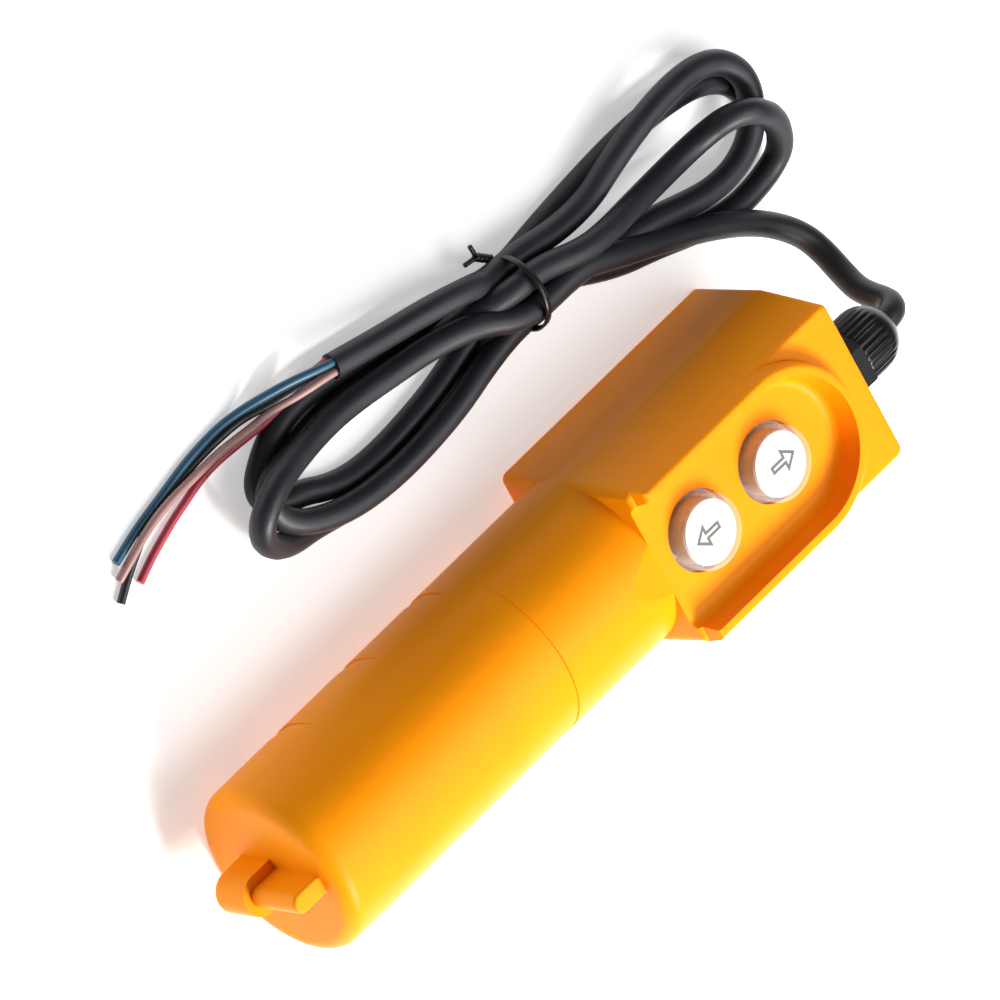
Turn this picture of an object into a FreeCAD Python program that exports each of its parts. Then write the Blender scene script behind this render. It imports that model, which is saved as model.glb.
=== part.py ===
"""Hand pendant pushbutton switch with two momentary buttons and a tied control cable.

The pendant lies on its back. +Z points out of the buttons, +Y runs along the
handle towards the cable gland and +X is to the right when the buttons are
looked at with the gland at the top. Z = 0 is the table under the head's flat
back. The origin is under the middle of the pendant's box.
Lengths are in millimetres.
"""
import FreeCAD, Part
import math
import os
import re
import Sketcher
from FreeCAD import Placement, Rotation, Vector

PARTS_FOLDER = "parts"
NEAR = 0.01

# Driving sizes
SIZES = {
    # Moulded shells
    "head_width": 56.8,
    "head_length": 91.1,
    "head_draft": 2.9,
    "split_height": 28.4,
    "front_depth": 27.6,
    "corner_round": 2.5,
    "rim_round": 1.6,
    "shell_wall": 3.0,
    "grip_radius": 28.4,
    "grip_height": 26.4,
    "grip_length": 141.5,
    "grip_end_round": 5.0,
    "grip_overlap": 4.0,
    # Recessed band and finger notches
    "band_drop": 41.9,
    "band_width": 22.2,
    "band_depth": 0.4,
    "band_shift": 0.5,
    "notch_drop": 49.4,
    "notch_pitch": 29.3,
    "notch_ramp": 10.0,
    "notch_depth": 1.1,
    "notch_shift": 0.9,
    # Arched collar and the well inside it
    "collar_radius": 27.0,
    "collar_drop": 10.2,
    "collar_low": 2.6,
    "collar_rise": 5.6,
    "collar_draft": 6.0,
    "collar_round": 1.5,
    "well_radius": 23.2,
    "well_depth": 2.6,
    "well_draft": 16.0,
    "well_round": 3.0,
    "floor_wall": 3.0,
    "ramp_start": 1.6,
    "ramp_length": 12.0,
    "ramp_width": 26.0,
    "chamber_width": 48.0,
    "bore_overlap": 6.0,
    "pilot_spare": 1.0,
    "gland_room": 16.0,
    "gland_room_wall": 3.0,
    # Lug on the end of the grip
    "barrel_radius": 6.5,
    "barrel_reach": 14.3,
    "barrel_depth": 13.7,
    "barrel_round": 2.0,
    "tongue_radius": 3.2,
    "tongue_reach": 11.6,
    "tongue_depth": 19.0,
    "tongue_round": 1.0,
    # Buttons
    "button_drop": 41.1,
    "button_pitch": 31.1,
    "button_travel": 4.0,
    "hole_radius": 11.95,
    "cap_radius": 11.1,
    "cap_rise": 6.0,
    "cap_wall": 1.5,
    "cap_round": 1.8,
    "stop_gap": 0.1,
    "legend_radius": 9.6,
    "legend_face_radius": 8.5,
    "legend_thickness": 0.6,
    "flange_radius": 13.3,
    "flange_thickness": 2.0,
    "stem_radius": 3.6,
    "guide_gap": 0.35,
    "guide_wall": 1.7,
    # Return springs
    "spring_radius": 6.2,
    "spring_wire": 0.5,
    "spring_turns": 5.0,
    # Switch works behind the buttons
    "plate_width": 44.0,
    "plate_length": 70.0,
    "plate_thickness": 1.5,
    "plate_height": 34.0,
    "stem_clearance": 1.2,
    "boss_radius": 3.6,
    "boss_inset": 4.2,
    "block_width": 28.0,
    "block_length": 25.0,
    "block_depth": 20.0,
    "slot_width": 23.0,
    "slot_length": 8.0,
    "slot_depth": 12.0,
    "bridge_length": 19.0,
    "bridge_width": 6.0,
    "bridge_thickness": 1.2,
    "contact_length": 6.0,
    "contact_thickness": 2.0,
    "contact_gap": 0.3,
    "screw_radius": 1.45,
    "screw_clearance": 0.15,
    "screw_head_radius": 2.6,
    "screw_head_height": 2.0,
    "screw_slot_width": 0.8,
    "screw_slot_depth": 0.9,
    "block_screw_offset": 9.3,
    "block_screw_length": 8.0,
    "terminal_offset": 8.4,
    "plate_screw_length": 9.0,
    # Screws that hold the shells together, from the back
    "case_screw_offset": 19.0,
    "case_screw_radius": 1.5,
    "case_screw_length": 24.0,
    "case_head_radius": 3.0,
    "case_head_height": 2.4,
    "case_head_recess": 14.0,
    "post_radius": 4.5,
    "upper_post_drop": 9.4,
    "middle_post_drop": 103.0,
    "lower_post_drop": 211.0,
    # Cable gland
    "gland_drop": 14.4,
    "gland_reach": 21.5,
    "gland_seat": 1.4,
    "gland_seat_radius": 12.6,
    "gland_thread_radius": 9.2,
    "gland_thread_length": 8.2,
    "gland_hex": 20.6,
    "gland_hex_length": 5.0,
    "gland_neck_radius": 8.6,
    "gland_neck_length": 7.0,
    "gland_wall": 1.3,
    "washer_radius": 11.4,
    "washer_thickness": 1.2,
    "locknut_hex": 20.4,
    "locknut_length": 4.0,
    "nut_radius": 10.2,
    "nut_dome": 13.0,
    "nut_wall": 1.4,
    "nut_rib_radius": 0.55,
    "nut_rib_start": 2.0,
    "nut_rib_length": 8.0,
    "nut_ball_depth": 11.4,
    "nut_rib_count": 22,
    "gland_play": 0.1,
    # Cable, hank and cores
    "cable_radius": 3.9,
    "core_radius": 1.3,
    "core_gap": 0.15,
    "inner_cable_length": 9.0,
    "hank_height": 18.0,
    "hank_waist_radius": 11.8,
    "tie_wire": 0.6,
    "tie_tail": 13.0,
}

# Places that several pieces share, as formulas of the sizes
HEAD_TOP = "((gland_reach + head_length + grip_length + barrel_reach) / 2 - gland_reach)"
HEAD_LOW = f"({HEAD_TOP} - head_length)"
GRIP_END = f"({HEAD_LOW} - grip_length)"
FACE = "(split_height + front_depth)"
FLOOR = f"({FACE} - well_depth)"
CEILING = f"({FLOOR} - floor_wall)"
PLATE_TOP = "(plate_height + plate_thickness)"
UPPER_BUTTON = f"({HEAD_TOP} - button_drop)"
LOWER_BUTTON = f"({UPPER_BUTTON} - button_pitch)"
BUTTON_MIDDLE = f"({UPPER_BUTTON} - button_pitch / 2)"
CAP_TOP = f"({FLOOR} + cap_rise)"
FLANGE_TOP = f"({CEILING} - stop_gap)"
FLANGE_LOW = f"({FLANGE_TOP} - flange_thickness)"
LEGEND_TOP = f"({CAP_TOP} - cap_wall)"
LEGEND_LOW = f"({LEGEND_TOP} - 2 * legend_thickness)"
SLOT_FLOOR = "(plate_height - slot_depth)"
CONTACT_TOP = f"({SLOT_FLOOR} + contact_thickness)"
BRIDGE_LOW = f"({CONTACT_TOP} + contact_gap + button_travel)"
BRIDGE_TOP = f"({BRIDGE_LOW} + bridge_thickness)"
BLOCK_LOW = "(plate_height - block_depth)"
GLAND_HEIGHT = f"({FACE} - gland_drop)"
GLAND_SEAT = f"({HEAD_TOP} - gland_seat)"
GLAND_INNER = f"({GLAND_SEAT} - shell_wall)"
GLAND_HEX_LOW = f"({GLAND_SEAT} + washer_thickness)"
GLAND_HEX_TOP = f"({GLAND_HEX_LOW} + gland_hex_length)"
GLAND_TIP = f"({HEAD_TOP} + gland_reach)"
CABLE_INNER_END = f"({GLAND_SEAT} - inner_cable_length)"
# Counts and shares
NOTCH_COUNT = 3
SPRING_SIDES = 14
PATH_SHARE = 0.45
TAIL_RISE = math.radians(20)

# The free cable's route, chosen by hand from the gland to the hank
LEAD_ROUTE = [
    (0.0, 137.6, 41.6),
    (-0.2, 141.0, 39.6),
    (-0.7, 142.8, 35.8),
    (-1.6, 142.8, 30.4),
    (-3.6, 143.0, 24.2),
    (-7.4, 144.8, 18.2),
    (-13.0, 146.0, 13.2),
    (-19.6, 144.9, 10.0),
    (-27.4, 139.4, 9.0),
    (-35.2, 131.0, 9.6),
]
# The hank's outer form: its waist at the tie, and the middle and radius of each lobe
HANK_TIE = (-73.0, 50.0, 0.0)
HANK_LOBES = [((-62.0, 129.0, 0.0), 28.3), ((-72.0, -44.0, 0.0), 22.4)]
HANK_NECK = 12.0
HANK_WAIST = 18.0
# The end of the jacket, and the four cores that leave it, chosen by hand
CORE_START = 9.0
JACKET_START = (-91.5, 0.0, 11.5)
JACKET_END = (-97.5, -16.5, 11.5)
CORE_ROUTES = {
    "wire_blue": ((-1, 1), [(-104.6, -34.0, 8.0), (-105.4, -46.0, 3.0), (-104.6, -60.0, 1.4),
                            (-101.6, -76.0, 1.4), (-97.6, -88.0, 1.4), (-93.2, -99.6, 1.4)]),
    "wire_brown": ((-1, -1), [(-102.6, -35.0, 5.0), (-102.2, -47.0, 1.6), (-101.0, -60.0, 1.4),
                              (-97.6, -75.0, 1.4), (-93.0, -88.0, 1.4), (-88.6, -99.2, 1.4)]),
    "wire_black": ((1, -1), [(-99.2, -36.0, 4.5), (-98.6, -48.0, 1.5), (-97.2, -61.0, 1.4),
                             (-93.2, -76.0, 1.4), (-88.4, -91.0, 1.4), (-83.4, -105.3, 1.4)]),
    "wire_red": ((1, 1), [(-97.6, -37.0, 8.2), (-96.6, -49.0, 4.6), (-94.2, -61.0, 2.2),
                          (-89.6, -73.5, 1.4), (-85.6, -85.5, 1.4), (-83.2, -96.0, 1.4)]),
}
# The cores between the gland and the terminals, as steps from the cable's inner end
INNER_ROUTES = {
    "up": ((1.6, 1.6), [(3.4, -4.6, 1.2), (6.6, -7.2, -5.0), (8.4, -8.0, -17.0),
                        (8.4, -9.4, -29.0), (8.4, -15.0, -34.0), (8.4, -21.0, -33.6)]),
    "down": ((1.6, -1.6), [(1.6, -4.2, -2.2), (2.4, -6.6, -8.0), (3.4, -7.8, -19.0),
                           (3.4, -9.2, -30.0), (3.4, -15.0, -34.6), (3.4, -28.0, -35.3),
                           (4.4, -42.0, -35.2), (8.2, -53.0, -33.6)]),
}
POST_DROPS = ("upper_post_drop", "middle_post_drop", "lower_post_drop")
BUTTONS = {"up": UPPER_BUTTON, "down": LOWER_BUTTON}

ALONG_Y = Rotation(Vector(1, 0, 0), -90)
UPSIDE_DOWN = Rotation(Vector(1, 0, 0), 180)

doc = FreeCAD.newDocument("pendant")
sheet = doc.addObject("Spreadsheet::Sheet", "Sizes")
finished = {}


def fill_sheet():
    """Write every driving size as a plain number under its alias."""
    for row, (alias, value) in enumerate(SIZES.items(), start=1):
        sheet.set(f"A{row}", alias)
        sheet.set(f"B{row}", str(value))
        sheet.setAlias(f"B{row}", alias)
    doc.recompute()


def formula(text):
    """Point each size named in the text at its cell in the sheet."""
    return re.sub(r"[a-z_]+", lambda word: f"Sizes.{word.group()}"
                  if word.group() in SIZES else word.group(), str(text))


def bind(item, **formulas):
    """Bind properties of an object to formulas of the sizes."""
    for name, text in formulas.items():
        item.setExpression(name, formula(text))
    return item


def place(item, at, turn=None):
    """Put an object at three formulas, turned as given."""
    if turn is not None:
        item.Placement = Placement(Vector(), turn)
    for axis, text in zip("xyz", at):
        if str(text) != "0":
            item.setExpression(f".Placement.Base.{axis}", formula(text))
    return item


def box(name, size, low):
    """Make a box from three sizes and its lowest corner."""
    item = doc.addObject("Part::Box", name)
    bind(item, Length=size[0], Width=size[1], Height=size[2])
    return place(item, low)


def cylinder(name, radius, height, at, turn=None):
    """Make a cylinder that starts at a point and runs along its own axis."""
    item = doc.addObject("Part::Cylinder", name)
    bind(item, Radius=radius, Height=height)
    return place(item, at, turn)


def cone(name, low_radius, top_radius, height, at, turn=None):
    """Make a cone from its two radii and its height."""
    item = doc.addObject("Part::Cone", name)
    bind(item, Radius1=low_radius, Radius2=top_radius, Height=height)
    return place(item, at, turn)


def prism(name, across_flats, height, at, turn):
    """Make a hexagonal prism from its size across the flats."""
    item = doc.addObject("Part::Prism", name)
    item.Polygon = 6
    bind(item, Circumradius=f"({across_flats}) / (2 * cos(30))", Height=height)
    return place(item, at, turn)


def cut(name, base, tool):
    """Cut a tool out of a base."""
    item = doc.addObject("Part::Cut", name)
    item.Base, item.Tool = base, tool
    return item


def fuse(name, pieces):
    """Join several objects into one."""
    item = doc.addObject("Part::MultiFuse", name)
    item.Shapes = pieces
    item.Refine = True
    return item


def fillet(name, base, radius, wanted):
    """Round the edges of a base that pass a test of their shape."""
    doc.recompute()
    item = doc.addObject("Part::Fillet", name)
    item.Base = base
    size = SIZES[radius]
    item.Edges = [(number, size, size) for number, edge in enumerate(base.Shape.Edges, start=1)
                  if wanted(edge)]
    return item


def group(name, pieces):
    """Keep several separate solids together in one sub-part."""
    item = doc.addObject("Part::Compound", name)
    item.Links = pieces
    return item


def finish(item, node):
    """Name an object as a sub-part that is written out."""
    item.Label = node
    finished[node] = item
    return item


def body_plane(body, role):
    """Find one of a body's own origin planes."""
    return next(plane for plane in body.Origin.OriginFeatures if plane.Role == role)


def sketch_on(body, name, role, offset):
    """Start a sketch on a body's plane, moved along its normal."""
    sketch = body.newObject("Sketcher::SketchObject", name)
    sketch.AttachmentSupport = [(body_plane(body, role), "")]
    sketch.MapMode = "FlatFace"
    sketch.setExpression(".AttachmentOffset.Base.z", formula(offset))
    return sketch


def pin_point(sketch, kind, item, end, text, start):
    """Tie a point's distance from the sketch's origin to a formula."""
    number = sketch.addConstraint(Sketcher.Constraint(kind, -1, 1, item, end, start))
    sketch.setExpression(f"Constraints[{number}]", formula(text))


def rectangle(sketch, left, right, low, top):
    """Draw a rectangle whose four sides are formulas."""
    corners = [Vector(-5, -5, 0), Vector(5, -5, 0), Vector(5, 5, 0), Vector(-5, 5, 0)]
    for number in range(4):
        sketch.addGeometry(Part.LineSegment(corners[number], corners[(number + 1) % 4]), False)
    for number in range(4):
        sketch.addConstraint(Sketcher.Constraint("Coincident", number, 2, (number + 1) % 4, 1))
        kind = "Horizontal" if number % 2 == 0 else "Vertical"
        sketch.addConstraint(Sketcher.Constraint(kind, number))
    pin_point(sketch, "DistanceX", 0, 1, left, -5)
    pin_point(sketch, "DistanceX", 0, 2, right, 5)
    pin_point(sketch, "DistanceY", 0, 1, low, -5)
    pin_point(sketch, "DistanceY", 2, 1, top, 5)


def circle_part(sketch, radius, centre, chord, upper):
    """Draw the part of a circle above or below a level chord."""
    first, last = (math.radians(10), math.radians(170)) if upper else (math.radians(190),
                                                                       math.radians(350))
    ring = Part.Circle(Vector(0, 20, 0), Vector(0, 0, 1), 20)
    sketch.addGeometry(Part.ArcOfCircle(ring, first, last), False)
    start, end = (ring.value(last), ring.value(first))
    sketch.addGeometry(Part.LineSegment(start, end), False)
    sketch.addConstraint(Sketcher.Constraint("Coincident", 0, 2, 1, 1))
    sketch.addConstraint(Sketcher.Constraint("Coincident", 1, 2, 0, 1))
    sketch.addConstraint(Sketcher.Constraint("Horizontal", 1))
    sketch.addConstraint(Sketcher.Constraint("PointOnObject", 0, 3, -2))
    number = sketch.addConstraint(Sketcher.Constraint("Radius", 0, 20))
    sketch.setExpression(f"Constraints[{number}]", formula(radius))
    pin_point(sketch, "DistanceY", 0, 3, centre, 20)
    pin_point(sketch, "DistanceY", 1, 1, chord, 22)


def arch(sketch, radius, centre, low, opens_up=True):
    """Draw two straight sides that end in a half circle."""
    side = 1 if opens_up else -1
    ring = Part.Circle(Vector(0, 0, 0), Vector(0, 0, 1), 10)
    first, last = (0, math.pi) if opens_up else (math.pi, 2 * math.pi)
    sketch.addGeometry(Part.ArcOfCircle(ring, first, last), False)
    start, end = ring.value(first), ring.value(last)
    far = Vector(0, -20 * side, 0)
    sketch.addGeometry(Part.LineSegment(end, end + far), False)
    sketch.addGeometry(Part.LineSegment(end + far, start + far), False)
    sketch.addGeometry(Part.LineSegment(start + far, start), False)
    for item, next_item in ((0, 1), (1, 2), (2, 3), (3, 0)):
        sketch.addConstraint(Sketcher.Constraint("Coincident", item, 2, next_item, 1))
    for kind, item in (("Vertical", 1), ("Horizontal", 2), ("Vertical", 3)):
        sketch.addConstraint(Sketcher.Constraint(kind, item))
    sketch.addConstraint(Sketcher.Constraint("PointOnObject", 0, 3, -2))
    sketch.addConstraint(Sketcher.Constraint("Horizontal", 0, 1, 0, 3))
    sketch.addConstraint(Sketcher.Constraint("Horizontal", 0, 2, 0, 3))
    number = sketch.addConstraint(Sketcher.Constraint("Radius", 0, 10))
    sketch.setExpression(f"Constraints[{number}]", formula(radius))
    pin_point(sketch, "DistanceY", 0, 3, centre, 0)
    pin_point(sketch, "DistanceY", 2, 1, low, -20 * side)


def pad(body, name, sketch, length, draft=None, backwards=False):
    """Add a pad of a sketch, drafted inwards where a draft is given."""
    item = body.newObject("PartDesign::Pad", name)
    item.Profile = sketch
    item.Reversed = backwards
    bind(item, Length=length)
    if draft:
        bind(item, TaperAngle=f"-{draft}")
    return item


def round_edges(body, name, base, radius, wanted):
    """Round the edges of a body's feature that pass a test."""
    doc.recompute()
    item = body.newObject("PartDesign::Fillet", name)
    item.Base = (base, [f"Edge{number}" for number, edge in enumerate(base.Shape.Edges, start=1)
                        if wanted(edge)])
    bind(item, Radius=radius)
    return item


def ends_at(edge, axis, place_there):
    """Tell whether both ends of an edge lie at one place along an axis."""
    return all(abs(getattr(corner.Point, axis) - place_there) < NEAR for corner in edge.Vertexes)


def reach(shape, axis, pick):
    """Find how far the corners of a shape reach along an axis."""
    return pick(getattr(corner.Point, axis) for corner in shape.Vertexes)


def curved(edge):
    """Tell whether an edge is anything but a straight line."""
    return not isinstance(edge.Curve, (Part.Line, Part.LineSegment))


def upright(edge):
    """Tell whether an edge climbs from one end of its shape to the other."""
    heights = [corner.Point.z for corner in edge.Vertexes]
    return max(heights) - min(heights) > SIZES["front_depth"] / 2


def head_block(body, side, depth, backwards):
    """Pad half of the drafted head from the parting plane and round its corners."""
    outline = sketch_on(body, f"{side}_head_outline", "XY_Plane", "split_height")
    rectangle(outline, "-head_width / 2", "head_width / 2", HEAD_LOW, HEAD_TOP)
    block = pad(body, f"{side}_head", outline, depth, "head_draft", backwards)
    corners = round_edges(body, f"{side}_head_corners", block, "corner_round", upright)
    doc.recompute()
    height = reach(corners.Shape, "z", min if backwards else max)
    return round_edges(body, f"{side}_head_rim", corners, "rim_round",
                       lambda edge: ends_at(edge, "z", height))


def grip_half(body, side, upper):
    """Pad half of the round grip and round its far end."""
    outline = sketch_on(body, f"{side}_grip_outline", "XZ_Plane",
                        f"-({HEAD_LOW} + grip_overlap)")
    circle_part(outline, "grip_radius", "grip_height", "split_height", upper)
    tube = pad(body, f"{side}_grip", outline, "grip_length + grip_overlap")
    doc.recompute()
    end = reach(tube.Shape, "y", min)
    return round_edges(body, f"{side}_grip_end", tube, "grip_end_round",
                       lambda edge: ends_at(edge, "y", end) and curved(edge))


def collar(body):
    """Raise the arched collar on the front face and round its crest."""
    outline = sketch_on(body, "collar_outline", "XY_Plane", f"{FACE} - rim_round")
    arch(outline, "collar_radius", f"{HEAD_TOP} - collar_drop - collar_radius",
         f"{HEAD_LOW} + collar_low")
    ring = pad(body, "collar", outline, "collar_rise + rim_round", "collar_draft")
    doc.recompute()
    top = reach(ring.Shape, "z", max)
    round_edges(body, "collar_crest", ring, "collar_round",
                lambda edge: ends_at(edge, "z", top))


def well_form():
    """Build the sunk well inside the collar, with sloping sides and a rounded floor."""
    body = doc.addObject("PartDesign::Body", "well_form")
    outline = sketch_on(body, "well_outline", "XY_Plane", f"{FACE} + collar_rise")
    arch(outline, "well_radius", f"{HEAD_TOP} - collar_drop - collar_radius",
         f"{HEAD_LOW} + collar_low - collar_rise")
    sunk = pad(body, "well", outline, "collar_rise + well_depth", "well_draft", True)
    doc.recompute()
    floor = reach(sunk.Shape, "z", min)
    round_edges(body, "well_floor_round", sunk, "well_round",
                lambda edge: ends_at(edge, "z", floor))
    return body


def ramp_form():
    """Build the wedge that lets the well's floor run out onto the grip's crown."""
    body = doc.addObject("PartDesign::Body", "ramp_form")
    outline = sketch_on(body, "ramp_outline", "YZ_Plane", "-ramp_width / 2")
    points = [Vector(20, 50, 0), Vector(20, 60, 0), Vector(0, 60, 0)]
    for number in range(3):
        outline.addGeometry(Part.LineSegment(points[number], points[(number + 1) % 3]), False)
    for number in range(3):
        outline.addConstraint(Sketcher.Constraint("Coincident", number, 2, (number + 1) % 3, 1))
    outline.addConstraint(Sketcher.Constraint("Vertical", 0))
    outline.addConstraint(Sketcher.Constraint("Horizontal", 1))
    pin_point(outline, "DistanceX", 0, 1, f"{HEAD_LOW} + ramp_start", 20)
    pin_point(outline, "DistanceY", 0, 1, FLOOR, 50)
    pin_point(outline, "DistanceX", 1, 2, f"{HEAD_LOW} + ramp_start - 3 * ramp_length", 0)
    pin_point(outline, "DistanceY", 1, 2,
              f"{FLOOR} + 3 * (grip_height + grip_radius - {FLOOR})", 60)
    pad(body, "ramp", outline, "ramp_width")
    return body


def half_cavity(side, low, height):
    """Build the hollow of one shell: the head's chamber and the grip's bore."""
    chamber = box(f"{side}_chamber", ("chamber_width", f"head_length - 2 * shell_wall - gland_seat",
                                      height),
                  ("-chamber_width / 2", f"{HEAD_LOW} + shell_wall", low))
    bore = cylinder(f"{side}_bore", "grip_radius - shell_wall",
                    "grip_length - shell_wall + bore_overlap",
                    ("0", f"{GRIP_END} + shell_wall", "grip_height"), ALONG_Y)
    slab = box(f"{side}_bore_half", ("2 * grip_radius", "2 * grip_length", "grip_radius * 2"),
               ("-grip_radius", f"{GRIP_END}",
                "split_height" if side == "front" else "split_height - 2 * grip_radius"))
    half = doc.addObject("Part::Common", f"{side}_half_bore")
    half.Base, half.Tool = bore, slab
    return [chamber, half]


def post_places():
    """Give the places of the posts that the case screws run through."""
    return [(sign, f"{HEAD_TOP} - {drop}") for drop in POST_DROPS for sign in ("", "-")]


def boss_places():
    """Give the places of the four bosses that carry the switch plate."""
    reach_x = "(plate_width / 2 - boss_inset)"
    reach_y = "(plate_length / 2 - boss_inset)"
    return [(f"{sign}{reach_x}", f"{BUTTON_MIDDLE} {way} {reach_y}")
            for sign in ("", "-") for way in ("+", "-")]


def ring_cutter(name, y_low, width, core):
    """Build a ring that shaves the grip's surface down to a core."""
    outer = cylinder(f"{name}_outer", "2 * grip_radius", width,
                     ("0", y_low, "grip_height"), ALONG_Y)
    return cut(name, outer, core)


def grip_band():
    """Build the ring that cuts the shallow band round the front of the grip."""
    place_low = f"{HEAD_LOW} - band_drop - band_width"
    core = cylinder("grip_band_core", "grip_radius + band_shift - band_depth", "band_width",
                    ("0", place_low, "grip_height - band_shift"), ALONG_Y)
    return ring_cutter("grip_band", place_low, "band_width", core)


def finger_notches():
    """Build the rings that cut the sawtooth finger notches into the grip's back."""
    rings = []
    for number in range(NOTCH_COUNT):
        place_low = f"{HEAD_LOW} - notch_drop - {number} * notch_pitch - notch_ramp"
        lip = "(grip_radius + notch_shift - notch_depth)"
        core = cone(f"notch_{number}_core", f"{lip} + notch_depth", lip, "notch_ramp",
                    ("0", place_low, "grip_height + notch_shift"), ALONG_Y)
        rings.append(ring_cutter(f"notch_{number}", place_low, "notch_ramp", core))
    return rings


def front_outside():
    """Build the outer form of the front shell."""
    body = doc.addObject("PartDesign::Body", "front_outside")
    head_block(body, "front", "front_depth", False)
    grip_half(body, "front", True)
    tongue = sketch_on(body, "tongue_outline", "XY_Plane", "split_height")
    arch(tongue, "tongue_radius", f"{GRIP_END} - tongue_reach + tongue_radius",
         f"{GRIP_END} + shell_wall / 2", opens_up=False)
    rib = pad(body, "tongue", tongue, "tongue_depth")
    doc.recompute()
    end = reach(rib.Shape, "y", min)
    split = SIZES["split_height"]
    low = split + SIZES["tongue_depth"]
    round_edges(body, "tongue_end", rib, "tongue_round",
                lambda edge: ends_at(edge, "z", low)
                and edge.BoundBox.YMax < end + SIZES["tongue_reach"] - NEAR)
    collar(body)
    return body


def gland_openings(side):
    """Build the gland's hole and its flat seat in the end wall of a shell."""
    return [cylinder(f"{side}_gland_hole", "gland_thread_radius + gland_play", "front_depth",
                     on_gland_axis(f"{GLAND_INNER} - gland_play"), ALONG_Y),
            cylinder(f"{side}_gland_spot", "gland_seat_radius", "front_depth",
                     on_gland_axis(GLAND_SEAT), ALONG_Y)]


def housing_front():
    """Hollow the front shell and open it for the buttons, the band and the gland."""
    outside = front_outside()
    ceiling_height = f"{CEILING} - split_height"
    hollow = half_cavity("front", "split_height", ceiling_height)
    hollow.append(box("gland_room", ("chamber_width", "gland_room",
                                     f"{FACE} - gland_room_wall - split_height"),
                      ("-chamber_width / 2", f"{GLAND_INNER} - gland_room", "split_height")))
    kept = [cylinder(f"front_post_{number}", "post_radius", "front_depth",
                     (f"{sign}case_screw_offset", y_place, "split_height"))
            for number, (sign, y_place) in enumerate(post_places())]
    kept += [cylinder(f"plate_boss_{number}", "boss_radius", "front_depth",
                      (x_place, y_place, PLATE_TOP))
             for number, (x_place, y_place) in enumerate(boss_places())]
    cavity = cut("front_cavity", fuse("front_hollow", hollow), fuse("front_posts", kept))
    holes = [cavity, ramp_form(), grip_band()]
    for name, y_place in BUTTONS.items():
        holes.append(cylinder(f"{name}_hole", "hole_radius", "front_depth",
                              ("0", y_place, PLATE_TOP)))
    holes += gland_openings("front")
    for number, (sign, y_place) in enumerate(post_places()):
        holes.append(cylinder(f"front_pilot_{number}", "case_screw_radius + screw_clearance",
                              "case_head_recess + case_screw_length - split_height + pilot_spare",
                              (f"{sign}case_screw_offset", y_place, "split_height")))
    for number, (x_place, y_place) in enumerate(boss_places()):
        holes.append(cylinder(f"boss_pilot_{number}", "screw_radius + screw_clearance",
                              "plate_screw_length", (x_place, y_place, PLATE_TOP)))
    opened = cut("front_opened", outside, fuse("front_openings", holes))
    return finish(cut("front_shell", opened, well_form()), "housing_front")


def rear_outside():
    """Build the outer form of the rear shell."""
    body = doc.addObject("PartDesign::Body", "rear_outside")
    head_block(body, "rear", "split_height", True)
    grip_half(body, "rear", False)
    barrel = sketch_on(body, "barrel_outline", "XY_Plane", "split_height")
    arch(barrel, "barrel_radius", f"{GRIP_END} - barrel_reach + barrel_radius",
         f"{GRIP_END} + shell_wall / 2", opens_up=False)
    stub = pad(body, "barrel", barrel, "barrel_depth", None, True)
    doc.recompute()
    end = reach(stub.Shape, "y", min)
    low = SIZES["split_height"] - SIZES["barrel_depth"]
    round_edges(body, "barrel_end", stub, "barrel_round",
                lambda edge: ends_at(edge, "z", low)
                and edge.BoundBox.YMax < end + SIZES["barrel_reach"] - NEAR)
    return body


def housing_rear():
    """Hollow the rear shell, notch its grip and sink its screw holes."""
    outside = rear_outside()
    hollow = half_cavity("rear", "shell_wall", "split_height - shell_wall")
    kept = [cylinder(f"rear_post_{number}", "post_radius", "split_height",
                     (f"{sign}case_screw_offset", y_place, "0"))
            for number, (sign, y_place) in enumerate(post_places())]
    holes = [cut("rear_cavity", fuse("rear_hollow", hollow), fuse("rear_posts", kept))]
    holes += finger_notches() + gland_openings("rear")
    holes.append(box("back_trim", ("2 * head_width", "3 * head_length", "grip_radius"),
                     ("-head_width", "-1.5 * head_length", "-grip_radius")))
    for number, (sign, y_place) in enumerate(post_places()):
        at = (f"{sign}case_screw_offset", y_place, "0")
        holes.append(cylinder(f"rear_bore_{number}", "case_screw_radius + screw_clearance",
                              "split_height", at))
        holes.append(cylinder(f"rear_recess_{number}", "case_head_radius + 2 * screw_clearance",
                              "case_head_recess", at))
    return finish(cut("rear_shell", outside, fuse("rear_openings", holes)), "housing_rear")


def screw(name, radius, length, head_radius, head_height, at, turn=None):
    """Make a slotted screw whose head lies below the given seat."""
    shank = cylinder(f"{name}_shank", radius, f"{length} + {head_height}", ("0", "0", "0"))
    head = cylinder(f"{name}_head", head_radius, head_height, ("0", "0", "0"))
    slot = box(f"{name}_slot", (f"3 * {head_radius}", "screw_slot_width", "screw_slot_depth"),
               (f"-1.5 * {head_radius}", "-screw_slot_width / 2", "0"))
    made = cut(name, fuse(f"{name}_solid", [shank, head]), slot)
    x_place, y_place, seat = at
    low = f"{seat} - {head_height}" if turn is None else f"{seat} + {head_height}"
    return place(made, (x_place, y_place, low), turn)


def case_screws():
    """Make the screws that hold the two shells together."""
    made = [screw(f"case_screw_{number}", "case_screw_radius", "case_screw_length",
                  "case_head_radius", "case_head_height",
                  (f"{sign}case_screw_offset", y_place, "case_head_recess"))
            for number, (sign, y_place) in enumerate(post_places())]
    return finish(group("case_screw_set", made), "case_screws")


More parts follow.
